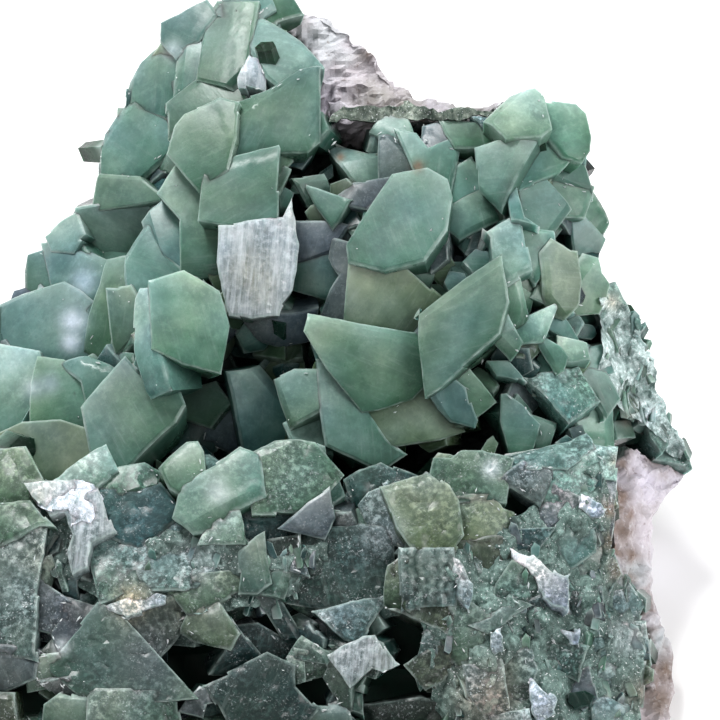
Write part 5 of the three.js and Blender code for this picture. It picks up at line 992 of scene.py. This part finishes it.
# Broken, fine-grained ground between the crystals:
# owner, cell, roughness, height, blades, looks of the blades, colour, outline.
RUBBLE = (
    ("front_druse", 0.22, 0.55, -0.1, 120, "ggbbtvfk", (92, 115, 109),
     (2.6, -8.6, 5, -9.2, 7.5, -7.6, 9.5, -6.5, 12, -4.8, 12.5, -6, 12.6, -8, 12.7, -10.5, 13.4, -12,
      14.2, -13.5, 14.3, -15, 13.9, -19, 3.5, -19, 3.2, -14.5, 2.4, -12)),
    ("front_druse", 0.22, 0.45, -0.2, 60, "ggbbtvf", (86, 106, 101),
     (-18, -8, -14.5, -6.6, -11.5, -7.5, -9, -8.3, -7, -7.4, -4.8, -9, -1.5, -8.8, -1, -11, -4.5,
      -12.2, -9, -12.8, -13, -12, -15.5, -10.5, -18, -12)),
    ("right_druse", 0.22, 0.6, 0.3, 34, "bpppk", (178, 198, 196),
     (11.9, 3.2, 13.6, 3, 14.1, 1.6, 15, 0.1, 15.2, -1.4, 15.7, -2.4, 16.7, -4.3, 16.3, -5.4, 15.2,
      -4.6, 14.4, -3.4, 13.3, -2.9, 12.5, -2.2, 11.9, -0.5)),
    ("right_druse", 0.22, 0.4, -0.4, 0, "g", (112, 124, 114),
     (-1.6, 12.0, -1.0, 13.0, 1, 12.9, 2.2, 13.2, 3.5, 12.8, 5.5, 12.9, 7.2, 12.4, 7.2, 12.0, 5, 11.9,
      2, 11.9, 0.2, 11.8)),
    # A pale crumpled sheet over the pearly face low on the left, painted bright as its glint.
    ("front_druse", 0.24, 0.35, 0.6, 0, "s", (204, 214, 224),
     (-16.7, -6.15, -15, -6, -13.1, -5.9, -12.7, -6.8, -12, -8.4, -13.2, -9.05, -13.4, -10.2, -14.2,
      -10.6, -14.5, -9.6, -14.2, -8.7, -14.6, -7.7, -15.3, -7.9, -16.25, -6.9)),
)


BLADE = np.array([(-0.5, -0.3), (-0.42, -0.5), (0.35, -0.45), (0.5, 0.1), (0.3, 0.5), (-0.45, 0.4)])


def blade(heap, spot, looks, rng):
    """A narrow tablet standing in the broken ground."""
    out = np.array((rng.uniform(-0.6, 0.6), rng.uniform(-0.4, 0.6), 1.0))
    out /= np.linalg.norm(out)
    side = np.cross(out, (1.0, rng.uniform(-0.6, 0.6), 0.1))
    side /= np.linalg.norm(side)
    long = rng.uniform(0.6, 1.9)
    wide = long * rng.uniform(0.18, 0.4)
    axes = (spot + out * rng.uniform(-0.15, 0.1), np.array([side, np.cross(out, side), out]))
    shade = rng.uniform(0.65, 1.1)
    look, thickness = rng.choice(looks), rng.uniform(0.5, 1.0)
    tablet(heap, look, 0.0, 0.0, 0.0, thickness, BLADE * (long, wide), rng, 0.3, shade, axes)


def rubble(heap, cell, rough, height, blades, looks, colour, flat, rng):
    """A crumpled sheet of small facets with a skirt under it, following the crystals' depth."""
    ring = anticlockwise(np.array(flat, float).reshape(-1, 2))
    border = outline(ring, cell)
    border = border + np.array([(rng.uniform(-0.3, 0.3), rng.uniform(-0.3, 0.3)) for _ in border]) * cell
    border = border + inward(border) * (0.2 + 0.3 * wobble(border, 1.1, 6.0))[:, None]
    grid = triangle_grid(ring.min(axis=0), ring.max(axis=0), cell, 0.35, rng)
    grid = grid[inside(grid, border)]
    grid = grid[edge_distance(grid, border) > 0.5 * cell]
    count = len(border)
    plan, triangles, rim = triangulated((*border, *grid), [], count, 1e-6)
    seed = rng.uniform(0, 50)
    z = swell(plan)[0] + height
    ground = wobble(plan, 0.75, seed) * rough + wobble(plan, 1.7, seed + 4) * 0.5 * rough
    ground = 0.5 * ground + 0.5 * np.round(ground / (0.4 * rough)) * 0.4 * rough
    ground += np.array([rng.uniform(-0.06, 0.06) for _ in plan])
    top = np.column_stack([plan, z + ground])
    skirt = np.column_stack([plan[rim], z[rim] - 1.6])
    base = np.column_stack([plan, z - 1.8])
    n = len(plan)
    points = np.concatenate([top, skirt, base])
    faces = [tuple(t) for t in triangles]
    faces += [tuple(n + count + i for i in reversed(t)) for t in triangles]
    for i in range(count):
        j = (i + 1) % count
        faces.append((n + i, n + j, rim[j], rim[i]))
        faces.append((n + count + rim[i], n + count + rim[j], n + j, n + i))
    tone = wobble(plan, 0.9, seed + 9)
    grit = np.array([rng.uniform(-0.25, 0.25) for _ in plan])
    base = linear(colour)
    # Painted shade: darker where the ground lies down among the crystals.
    tint = base * (1 + 0.6 * tone + grit)[:, None] * (1 - 0.5 * recess(top))[:, None]
    for _ in range(blades):
        blade(heap, top[rng.randrange(n)], looks, rng)
    tint = marked(tint, top)
    # Painted shade: the skirt and underside are painted dark.
    dark = np.tile(base * 0.15, (count + n, 1))
    flat_place = np.column_stack([points[:, :2], np.full(len(points), seed)])
    heap.add(points, faces, np.concatenate([tint, dark]), (0.0, 0.5, 0.0), flat_place, 2)


def even_mesh(node, voxel):
    """A copy of a solid's mesh, remade in even cells: points and normals in millimetres, and the mesh."""
    raw = bpy.data.objects.new("raw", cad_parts[node].data.copy())
    bpy.context.scene.collection.objects.link(raw)
    remesh = raw.modifiers.new("even", "REMESH")
    remesh.mode = "VOXEL"
    remesh.voxel_size = voxel * MM
    shaped = raw.evaluated_get(bpy.context.evaluated_depsgraph_get())
    mesh = bpy.data.meshes.new_from_object(shaped)
    bpy.data.objects.remove(raw)
    points = np.zeros(len(mesh.vertices) * 3, np.float32)
    normals = np.zeros(len(mesh.vertices) * 3, np.float32)
    mesh.vertices.foreach_get("co", points)
    mesh.vertices.foreach_get("normal", normals)
    return points.reshape(-1, 3).astype(float) / MM, normals.reshape(-1, 3).astype(float), mesh


def to_face(points):
    """Points of the part's frame, in millimetres, to the crystal face's frame."""
    x = points[:, 0] - FACE_SHIFT[0]
    back, rise = points[:, 1] - FACE_SHIFT[1], points[:, 2] - FACE_HEIGHT
    return np.column_stack([x, back * SIN + rise * COS, rise * SIN - back * COS])


# The bed's colour deep down, and on the left lobe: near black, partly the dark green base of the crust and
# partly painted shade in the clefts, lighter on the left lobe.
DEEP_BED, PALE_BED = (10, 32, 25), (70, 100, 90)


def bed(heap, name, rng):
    """The dark mass that the crystals of one lobe grow from, partly painted shade for the clefts, and the
    crystals on its flanks.
    """
    points, normals, mesh = even_mesh(name, 0.55)
    spots = to_face(points)
    turned = np.column_stack([normals[:, 0], normals[:, 1] * SIN + normals[:, 2] * COS,
                              normals[:, 2] * SIN - normals[:, 1] * COS])
    rough = wobble(spots, 0.9, 5.0) * 0.3
    mass = spots - turned * (1.0 + rough)[:, None]
    mass[:, 2] = np.minimum(mass[:, 2], swell(mass[:, :2])[0] - 1.3)
    faces = [tuple(p.vertices) for p in mesh.polygons]
    pale = np.clip((-6 - mass[:, 0]) / 3, 0, 1) * np.clip((mass[:, 1] + 4) / 3, 0, 1)
    depths = linear(DEEP_BED) * (1 - pale[:, None]) + linear(PALE_BED) * pale[:, None]
    heap.add(mass, faces, depths, (0.0, 0.2, 0.0), (0.0, 0.0, 0.0), 1)
    taken = np.zeros((0, 3))
    cover = TOP[cells_of(spots[:, :2])]
    free = (cover < BARE) | (cover - spots[:, 2] > 2.2)
    for x, y, _ in DARK_GAPS:
        free &= np.hypot(spots[:, 0] - x, spots[:, 1] - y) > 2.2
    flank = list(np.nonzero(free & (turned[:, 2] < 0.3) & (points[:, 2] > 1.2))[0])
    rng.shuffle(flank)
    for i in flank:
        if len(taken) and np.min(np.linalg.norm(taken - spots[i], axis=1)) < 1.1:
            continue
        taken = np.concatenate([taken, spots[i][None]])
        out = turned[i] + np.array([rng.uniform(-0.45, 0.45) for _ in range(3)])
        out /= np.linalg.norm(out)
        side = np.cross(out, (0.3, 0.2, 1.0))
        side /= np.linalg.norm(side)
        axes = (spots[i] - turned[i] * rng.uniform(0.3, 0.8), np.array([side, np.cross(out, side), out]))
        ring = loose_outline(rng.uniform(1.3, 3.0), rng)
        corners = axes[0] + np.column_stack([ring, np.zeros(len(ring))]) @ axes[1]
        if np.any((face_depth(corners[:, :2]) > BARE) & (corners[:, 2] > face_depth(corners[:, :2]) - 0.5)):
            continue
        look = rng.choice("ggggbbpyt")
        thickness, shade = rng.uniform(1.2, 1.8), rng.uniform(0.85, 1.0)
        tablet(heap, look, 0.0, 0.0, 0.0, thickness, ring, rng, 0.35, shade, axes)


class Nodes:
    """A new material's node tree, with short ways to add to it."""

    def __init__(self, name):
        self.material = bpy.data.materials.new(name)
        self.material.use_nodes = True
        self.tree = self.material.node_tree
        self.shader = self.tree.nodes["Principled BSDF"]

    def add(self, kind, **values):
        node = self.tree.nodes.new(kind)
        for key, value in values.items():
            setattr(node, key, value)
        return node

    def put(self, socket, value):
        """Set a socket to a number or a colour, or link an output to it."""
        if isinstance(value, (int, float)):
            socket.default_value = value
        elif isinstance(value, tuple):
            socket.default_value = (*value, 1.0)
        else:
            self.tree.links.new(value, socket)

    def attribute(self, name, output="Color"):
        return self.add("ShaderNodeAttribute", attribute_name=name).outputs[output]

    def place(self):
        return self.add("ShaderNodeTexCoord").outputs["Object"]

    def noise(self, vector, scale, detail=4.0, rough=0.55, distortion=0.0):
        node = self.add("ShaderNodeTexNoise")
        self.put(node.inputs["Vector"], vector)
        values = {"Scale": scale, "Detail": detail, "Roughness": rough, "Distortion": distortion}
        for key, value in values.items():
            self.put(node.inputs[key], value)
        return node.outputs["Fac"]

    def ramp(self, value, low, high, to_low=0.0, to_high=1.0):
        node = self.add("ShaderNodeMapRange")
        self.put(node.inputs["Value"], value)
        limits = {"From Min": low, "From Max": high, "To Min": to_low, "To Max": to_high}
        for key, limit in limits.items():
            self.put(node.inputs[key], limit)
        return node.outputs["Result"]

    def maths(self, operation, first, second):
        node = self.add("ShaderNodeMath", operation=operation)
        self.put(node.inputs[0], first)
        self.put(node.inputs[1], second)
        return node.outputs[0]

    def product(self, first, second):
        return self.maths("MULTIPLY", first, second)

    def mix(self, factor, first, second, blend="MIX"):
        node = self.add("ShaderNodeMix", data_type="RGBA", blend_type=blend)
        for name, value in (("Factor_Float", factor), ("A_Color", first), ("B_Color", second)):
            self.put(next(s for s in node.inputs if s.identifier == name), value)
        return next(s for s in node.outputs if s.identifier == "Result_Color")

    def times(self, colour, by):
        return self.mix(1.0, colour, by, "MULTIPLY")

    def stretched(self, vector, by):
        node = self.add("ShaderNodeVectorMath", operation="MULTIPLY")
        node.inputs[1].default_value = by
        self.put(node.inputs[0], vector)
        return node.outputs[0]

    def bump(self, height, strength, distance):
        node = self.add("ShaderNodeBump")
        self.put(node.inputs["Strength"], strength)
        self.put(node.inputs["Distance"], distance)
        self.put(node.inputs["Height"], height)
        self.put(self.shader.inputs["Normal"], node.outputs["Normal"])


def crystal_material():
    nodes = Nodes("heulandite")
    shader = nodes.shader
    tint = nodes.attribute("tint")
    lustre = nodes.attribute("lustre")
    parts = nodes.add("ShaderNodeSeparateColor")
    nodes.put(parts.inputs["Color"], lustre)
    pearl, frost, rim = parts.outputs["Red"], parts.outputs["Green"], parts.outputs["Blue"]
    flat = nodes.attribute("flat", "Vector")
    place = nodes.place()

    cloud = nodes.noise(place, 520, 5, 0.6)
    murk = nodes.times(tint, (0.48, 0.56, 0.62))
    colour = nodes.mix(nodes.ramp(cloud, 0.38, 0.66, 0.0, 0.75), tint, murk)
    fine = nodes.noise(place, 1700, 6, 0.66)
    veil = nodes.times(tint, (1.7, 1.6, 1.65))
    grainy = nodes.maths("ADD", nodes.product(frost, 0.75), 0.35)
    veiled = nodes.product(nodes.ramp(fine, 0.48, 0.72, 0.0, 0.7), grainy)
    colour = nodes.mix(veiled, colour, veil)

    grain = nodes.noise(place, 6500, 4, 0.7)
    dusty = nodes.times(tint, (0.62, 0.66, 0.66))
    dusted = nodes.product(nodes.ramp(grain, 0.36, 0.56, 0.55, 0.0), grainy)
    colour = nodes.mix(dusted, colour, dusty)
    # White specks on frosted faces: frost grain, and partly painted glints.
    speck = nodes.ramp(nodes.noise(place, 9000, 3, 0.6), 0.56, 0.68, 0.0, 0.8)
    patch = nodes.ramp(nodes.noise(place, 900, 3, 0.6), 0.42, 0.62)
    frost_and_glint_specks = nodes.product(nodes.product(speck, patch), frost)
    pits = nodes.times(tint, (0.3, 0.36, 0.36))
    gritty = nodes.noise(place, 3400, 5, 0.7)
    broken = nodes.product(nodes.ramp(cloud, 0.36, 0.56, 0.25, 1.4), frost)
    pitted = nodes.product(nodes.ramp(gritty, 0.40, 0.52, 0.9, 0.0), broken)
    colour = nodes.mix(pitted, colour, pits)
    crisp = nodes.product(nodes.ramp(gritty, 0.52, 0.62, 0.0, 0.8), broken)
    colour = nodes.mix(crisp, colour, nodes.times(tint, (2.2, 2.05, 2.1)))
    colour = nodes.mix(frost_and_glint_specks, colour, (0.62, 0.67, 0.69))

    streak = nodes.noise(nodes.stretched(flat, (0.6, 5.0, 1.0)), 1.0, 5, 0.6)
    # Painted sheen: pearly faces get pale streaks for their lustre, partly painted reflection.
    painted_sheen = nodes.product(nodes.ramp(streak, 0.40, 0.72, 0.0, 0.75), pearl)
    colour = nodes.mix(painted_sheen, colour, (0.60, 0.65, 0.69))
    faint = nodes.ramp(streak, 0.55, 0.75, 0.0, 0.12)
    colour = nodes.mix(faint, colour, (0.40, 0.48, 0.46))

    # Painted highlight: a pale band along each rim, where thin edges glow with light, broken up by noise.
    rim_light_breakup = nodes.ramp(nodes.noise(place, 1500, 4, 0.6), 0.32, 0.62)
    edge = nodes.product(nodes.product(rim, rim_light_breakup), 0.55)
    colour = nodes.mix(edge, colour, (0.42, 0.52, 0.49))
    nodes.put(shader.inputs["Base Color"], colour)

    rough = nodes.ramp(cloud, 0.3, 0.7, 0.22, 0.42)
    rough = nodes.maths("ADD", rough, nodes.product(frost_and_glint_specks, 0.25))
    nodes.put(shader.inputs["Roughness"], rough)
    shader.inputs["IOR"].default_value = 1.5
    shader.inputs["Specular IOR Level"].default_value = 0.3
    shader.inputs["Subsurface Weight"].default_value = 0.7
    shader.inputs["Subsurface Radius"].default_value = (0.75, 1.0, 0.92)
    shader.inputs["Subsurface Scale"].default_value = 0.00055
    height = nodes.maths("ADD", nodes.product(streak, 0.5), fine)
    nodes.bump(height, 0.3, 0.00005)
    return nodes.material


def broken_material():
    nodes = Nodes("broken_heulandite")
    shader = nodes.shader
    tint = nodes.attribute("tint")
    flat = nodes.attribute("flat", "Vector")
    place = nodes.place()
    streak = nodes.noise(nodes.stretched(flat, (2.4, 1.0, 1.0)), 1.2, 6, 0.7, 0.6)
    dark = nodes.times(tint, (0.22, 0.32, 0.30))
    colour = nodes.mix(nodes.ramp(streak, 0.36, 0.52, 0.85, 0.0), tint, dark)
    light = nodes.times(tint, (2.3, 2.1, 2.15))
    fine = nodes.noise(place, 3200, 5, 0.7)
    colour = nodes.mix(nodes.ramp(fine, 0.5, 0.64, 0.0, 0.8), colour, light)
    colour = nodes.mix(nodes.ramp(fine, 0.34, 0.44, 0.7, 0.0), colour, dark)
    # Painted glints: tiny white sparkles on the broken ground.
    painted_glint_noise = nodes.noise(place, 8500, 3, 0.6)
    colour = nodes.mix(nodes.ramp(painted_glint_noise, 0.62, 0.68, 0.0, 0.9), colour, (0.75, 0.79, 0.80))
    nodes.put(shader.inputs["Base Color"], colour)
    nodes.put(shader.inputs["Roughness"], nodes.ramp(fine, 0.3, 0.7, 0.3, 0.55))
    shader.inputs["Specular IOR Level"].default_value = 0.3
    shader.inputs["Subsurface Weight"].default_value = 0.2
    shader.inputs["Subsurface Radius"].default_value = (0.75, 1.0, 0.92)
    shader.inputs["Subsurface Scale"].default_value = 0.0003
    nodes.bump(nodes.maths("ADD", fine, streak), 0.8, 0.00015)
    return nodes.material


def bed_material():
    nodes = Nodes("dark_bed")
    shader = nodes.shader
    place = nodes.place()
    tint = nodes.attribute("tint")
    cloud = nodes.noise(place, 900, 5, 0.6)
    deep = nodes.times(tint, (0.3, 0.4, 0.35))
    nodes.put(shader.inputs["Base Color"], nodes.mix(nodes.ramp(cloud, 0.35, 0.7), deep, tint))
    shader.inputs["Specular IOR Level"].default_value = 0.1
    nodes.put(shader.inputs["Roughness"], nodes.ramp(cloud, 0.3, 0.7, 0.45, 0.8))
    nodes.bump(cloud, 0.5, 0.0001)
    return nodes.material


def rock_material():
    nodes = Nodes("pale_rock")
    shader = nodes.shader
    tint = nodes.attribute("tint")
    place = nodes.place()
    cloud = nodes.noise(place, 420, 6, 0.62)
    grains = nodes.noise(place, 2600, 4, 0.65)
    colour = nodes.mix(nodes.ramp(cloud, 0.4, 0.7, 0.0, 0.22), tint, (0.36, 0.31, 0.28))
    colour = nodes.mix(nodes.ramp(grains, 0.54, 0.70, 0.0, 0.4), colour, (0.78, 0.77, 0.82))
    colour = nodes.mix(nodes.ramp(grains, 0.30, 0.41, 0.6, 0.0), colour, (0.16, 0.12, 0.10))
    unshaded = nodes.attribute("unshaded", "Fac")
    # Painted shade: rock down among the crystals is painted near black-green.
    colour = nodes.mix(unshaded, (0.003, 0.014, 0.010), colour)
    nodes.put(shader.inputs["Base Color"], colour)
    nodes.put(shader.inputs["Roughness"], nodes.ramp(grains, 0.3, 0.7, 0.75, 0.45))
    shader.inputs["Subsurface Weight"].default_value = 0.12
    shader.inputs["Subsurface Radius"].default_value = (1.0, 0.9, 0.85)
    shader.inputs["Subsurface Scale"].default_value = 0.0004
    nodes.bump(nodes.maths("ADD", grains, cloud), 0.6, 0.00012)
    return nodes.material


# Stains and grown-over patches on the rock: x, y on the face, reach, colour, strength.
ROCK_STAINS = (
    (14.0, -6.2, 1.4, (214, 208, 222), 0.85),
    (15.3, -4.2, 0.6, (214, 208, 222), 0.8),
    (14.6, -8.8, 1.2, (204, 196, 206), 0.7),
    (13.7, -10.8, 0.9, (190, 202, 206), 0.8),
    (15.0, -14.0, 0.8, (186, 196, 200), 0.8),
    (13.3, -3.6, 0.8, (100, 80, 64), 0.95),
    (14.0, -2.8, 0.6, (128, 108, 92), 0.8),
    (15.0, -4.9, 0.6, (92, 74, 62), 0.95),
    (13.2, -5.2, 0.35, (104, 80, 62), 0.95),
    (13.1, -6.9, 0.5, (106, 78, 58), 0.95),
    (13.5, -7.8, 0.3, (112, 84, 64), 0.9),
    (13.2, -8.6, 0.55, (100, 76, 58), 0.95),
    (13.6, -9.8, 0.4, (118, 92, 74), 0.9),
    (14.3, -12.2, 0.5, (110, 90, 76), 0.9),
    (15.3, -15.5, 0.8, (104, 86, 72), 0.95),
    (14.9, -17.0, 0.9, (114, 96, 84), 0.95),
    (0.4, 15.6, 0.5, (110, 88, 70), 0.8),
    (2.5, 12.8, 1.5, (120, 116, 106), 0.8),
    (5.5, 12.6, 1.5, (110, 112, 100), 0.8),
    (0.5, 13.3, 1.2, (130, 128, 118), 0.7),
    (-2.0, 16.5, 1.6, (196, 204, 210), 0.8),
    (0.5, 17.0, 1.0, (204, 206, 210), 0.8),
)

ROCK, WARM_ROCK, RUST = (196, 192, 204), (176, 164, 158), (106, 82, 64)

# Where the rock ends on the right, at heights up the face.
RIGHT_EDGE = (
    (-19, -17, -15, -14, -13, -12, -9, -8, -7, -6, -5, -4),
    (15.4, 15.5, 15.7, 15.5, 15.1, 14.6, 14.6, 14.6, 15.3, 16.4, 16.7, 16.6),
)


def rock_shape(points, normals):
    """The rock's points made rough, kept flat underneath, behind its right edge and under the crystals."""
    push = np.zeros(len(points))
    for i, p in enumerate(points):
        v = Vector(p)
        coarse = noise.noise(v * 0.35) * 0.55 + noise.noise(v * 0.9 + Vector((7, 3, 1))) * 0.32
        ridge = 0.3 * abs(noise.noise(v * 0.7 + Vector((2, 9, 5)))) * 2
        push[i] = coarse - ridge + 0.2 * noise.noise(v * 2.2) + 0.13 * noise.noise(v * 4.5)
    push -= 0.15
    low = np.clip(points[:, 2] / 1.5, 0, 1)
    points = points + normals * (push * (0.08 + 0.92 * low))[:, None]
    points[:, 2] = np.maximum(points[:, 2], 0.0)
    spots = to_face(points)
    edge = np.interp(spots[:, 1], *RIGHT_EDGE) + 0.25 * wobble(spots[:, 1:], 1.3, 3.0)
    points[:, 0] -= np.maximum(spots[:, 0] - edge, 0) * 0.92
    spots = to_face(points)
    cover = face_depth(spots[:, :2])
    spots[:, 2] = np.where(cover > BARE, np.minimum(spots[:, 2], cover - 0.8), spots[:, 2])
    points = to_part(spots) / MM
    points[:, 2] = np.maximum(points[:, 2], 0.0)
    return points


def rock_tint(points, spots):
    """Pale rock with warm patches, stains, and rust along the edge of the crust on the right."""
    tint = np.tile(linear(ROCK), (len(points), 1))
    patchy = np.array([noise.noise(Vector(p) * 0.22 + Vector((4, 4, 4))) for p in points])
    warm = np.clip(patchy * 1.6 + 0.25, 0, 1)[:, None]
    tint = tint * (1 - 0.5 * warm) + linear(WARM_ROCK) * 0.5 * warm
    ragged = np.array([noise.noise(Vector(p) * 1.6) for p in points])
    for x, y, reach, colour, strength in ROCK_STAINS:
        far = np.hypot(spots[:, 0] - x, spots[:, 1] - y) / reach * (1.1 + 0.7 * ragged)
        share = (strength * np.exp(-(far**2)))[:, None]
        tint = tint * (1 - share) + linear(colour) * share
    at = cells_of(spots[:, :2])
    contact = sum(grown(OWNER >= 0, steps)[at] * 1.0 for steps in (2, 5, 9, 14)) / 4
    share = (contact * np.clip(0.45 + 1.6 * ragged, 0, 1) * (spots[:, 0] > 9))[:, None] * 0.9
    return tint * (1 - share) + linear(RUST) * share


def in_shade(spots, normals):
    """Where the rock lies down among the crystals, where shade is painted on it."""
    under = (CRUST | (OWNER >= 0))[cells_of(spots[:, :2])]
    crust, gap = swell(spots[:, :2])
    hollow = (gap < 2.8) & (spots[:, 0] < 11) & (spots[:, 1] < 10.5) & (spots[:, 2] < crust - 2)
    toward = normals[:, 1] * COS < normals[:, 2] * SIN + 0.3
    return ((under & (spots[:, 2] < crust - 0.5)) | hollow) & toward


def rock_piece(material):
    points, normals, mesh = even_mesh("matrix", 0.28)
    mesh.name = "rock"
    points = rock_shape(points, normals)
    mesh.vertices.foreach_set("co", (points * MM).astype(np.float32).ravel())
    spots = to_face(points)
    add_colours(mesh, "tint", rock_tint(points, spots))
    # Painted shade mask: 0 where the rock is painted dark as shade.
    add_colours(mesh, "unshaded", np.repeat(1.0 - in_shade(spots, normals)[:, None], 3, axis=1))
    mesh.update()
    piece = bpy.data.objects.new("rock", mesh)
    bpy.context.scene.collection.objects.link(piece)
    mesh.materials.clear()
    mesh.materials.append(material)
    return piece


# How finely the outer faces are cut, in millimetres: the front crust has the most crystals.
FACE_PITCH = {"left_druse": 0.2, "right_druse": 0.2, "front_druse": 0.26}

crystal_looks = (crystal_material(), bed_material(), broken_material())
first = 0
for order, (name, rows) in enumerate(DRUSES.items()):
    rng = random.Random(40 + order)
    heap = Heap()
    for index in range(first, first + len(rows)):
        ring, free = tucked(index)
        tablet(heap, *ALL_CRYSTALS[index][:5], ring, rng, FACE_PITCH[name], sides=free)
    understory(heap, name, first, len(rows), rng)
    glints(heap, name, rng)
    for owner, *ground in RUBBLE:
        if owner == name:
            rubble(heap, *ground, rng)
    bed(heap, name, rng)
    first += len(rows)
    piece = heap.build(name + "_crystals", crystal_looks)
    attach(piece, "root")
    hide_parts(name)

rock = rock_piece(rock_material())
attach(rock, "root")
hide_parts("matrix")


def floor_material():
    nodes = Nodes("pale_floor")
    shader = nodes.shader
    place = nodes.place()
    cloud = nodes.noise(place, 30, 4, 0.5)
    nodes.put(shader.inputs["Base Color"], nodes.mix(cloud, (0.95, 0.95, 0.95), (0.98, 0.98, 0.98)))
    shader.inputs["Roughness"].default_value = 0.9
    return nodes.material


floor_mesh = bpy.data.meshes.new("floor")
floor_mesh.from_pydata([(-2, -2, 0), (2, -2, 0), (2, 2, 0), (-2, 2, 0)], [], [(0, 1, 2, 3)])
floor = bpy.data.objects.new("floor", floor_mesh)
floor_mesh.materials.append(floor_material())
bpy.context.scene.collection.objects.link(floor)

scene = bpy.context.scene
scene.view_settings.view_transform = "Standard"
world = bpy.data.worlds.new("studio")
scene.world = world
world.use_nodes = True
world.node_tree.nodes["Background"].inputs["Color"].default_value = (1, 1, 1, 1)
world.node_tree.nodes["Background"].inputs["Strength"].default_value = 0.35

TARGET = Vector(to_part([(0, 0, 0)])[0])

# Each light: name, place, size, power.
LIGHTS = (
    ("key", (-0.129, 0.130, 0.374), 0.15, 2.0),
    ("fill", (0.30, -0.10, 0.24), 0.2, 1.1),
    ("front", (-0.16, -0.34, 0.24), 0.24, 0.25),
)

# The camera looks square onto the crystal face.
CAMERA_DISTANCE = 0.4
CAMERA_LENS = 400


def area_light(name, place, size, power):
    data = bpy.data.lights.new(name, "AREA")
    data.energy = power
    data.size = size
    light = bpy.data.objects.new(name, data)
    light.location = place
    light.rotation_euler = (TARGET - Vector(place)).to_track_quat("-Z", "Y").to_euler()
    bpy.context.scene.collection.objects.link(light)


for setting in LIGHTS:
    area_light(*setting)

camera_data = bpy.data.cameras.new("camera")
camera_data.sensor_width = 36
camera_data.lens = CAMERA_LENS
camera_data.clip_start = 0.01
camera = bpy.data.objects.new("camera", camera_data)
camera.location = TARGET + Vector((0, -COS, SIN)) * CAMERA_DISTANCE
camera.rotation_euler = (math.radians(50), 0, 0)
scene.collection.objects.link(camera)
scene.camera = camera
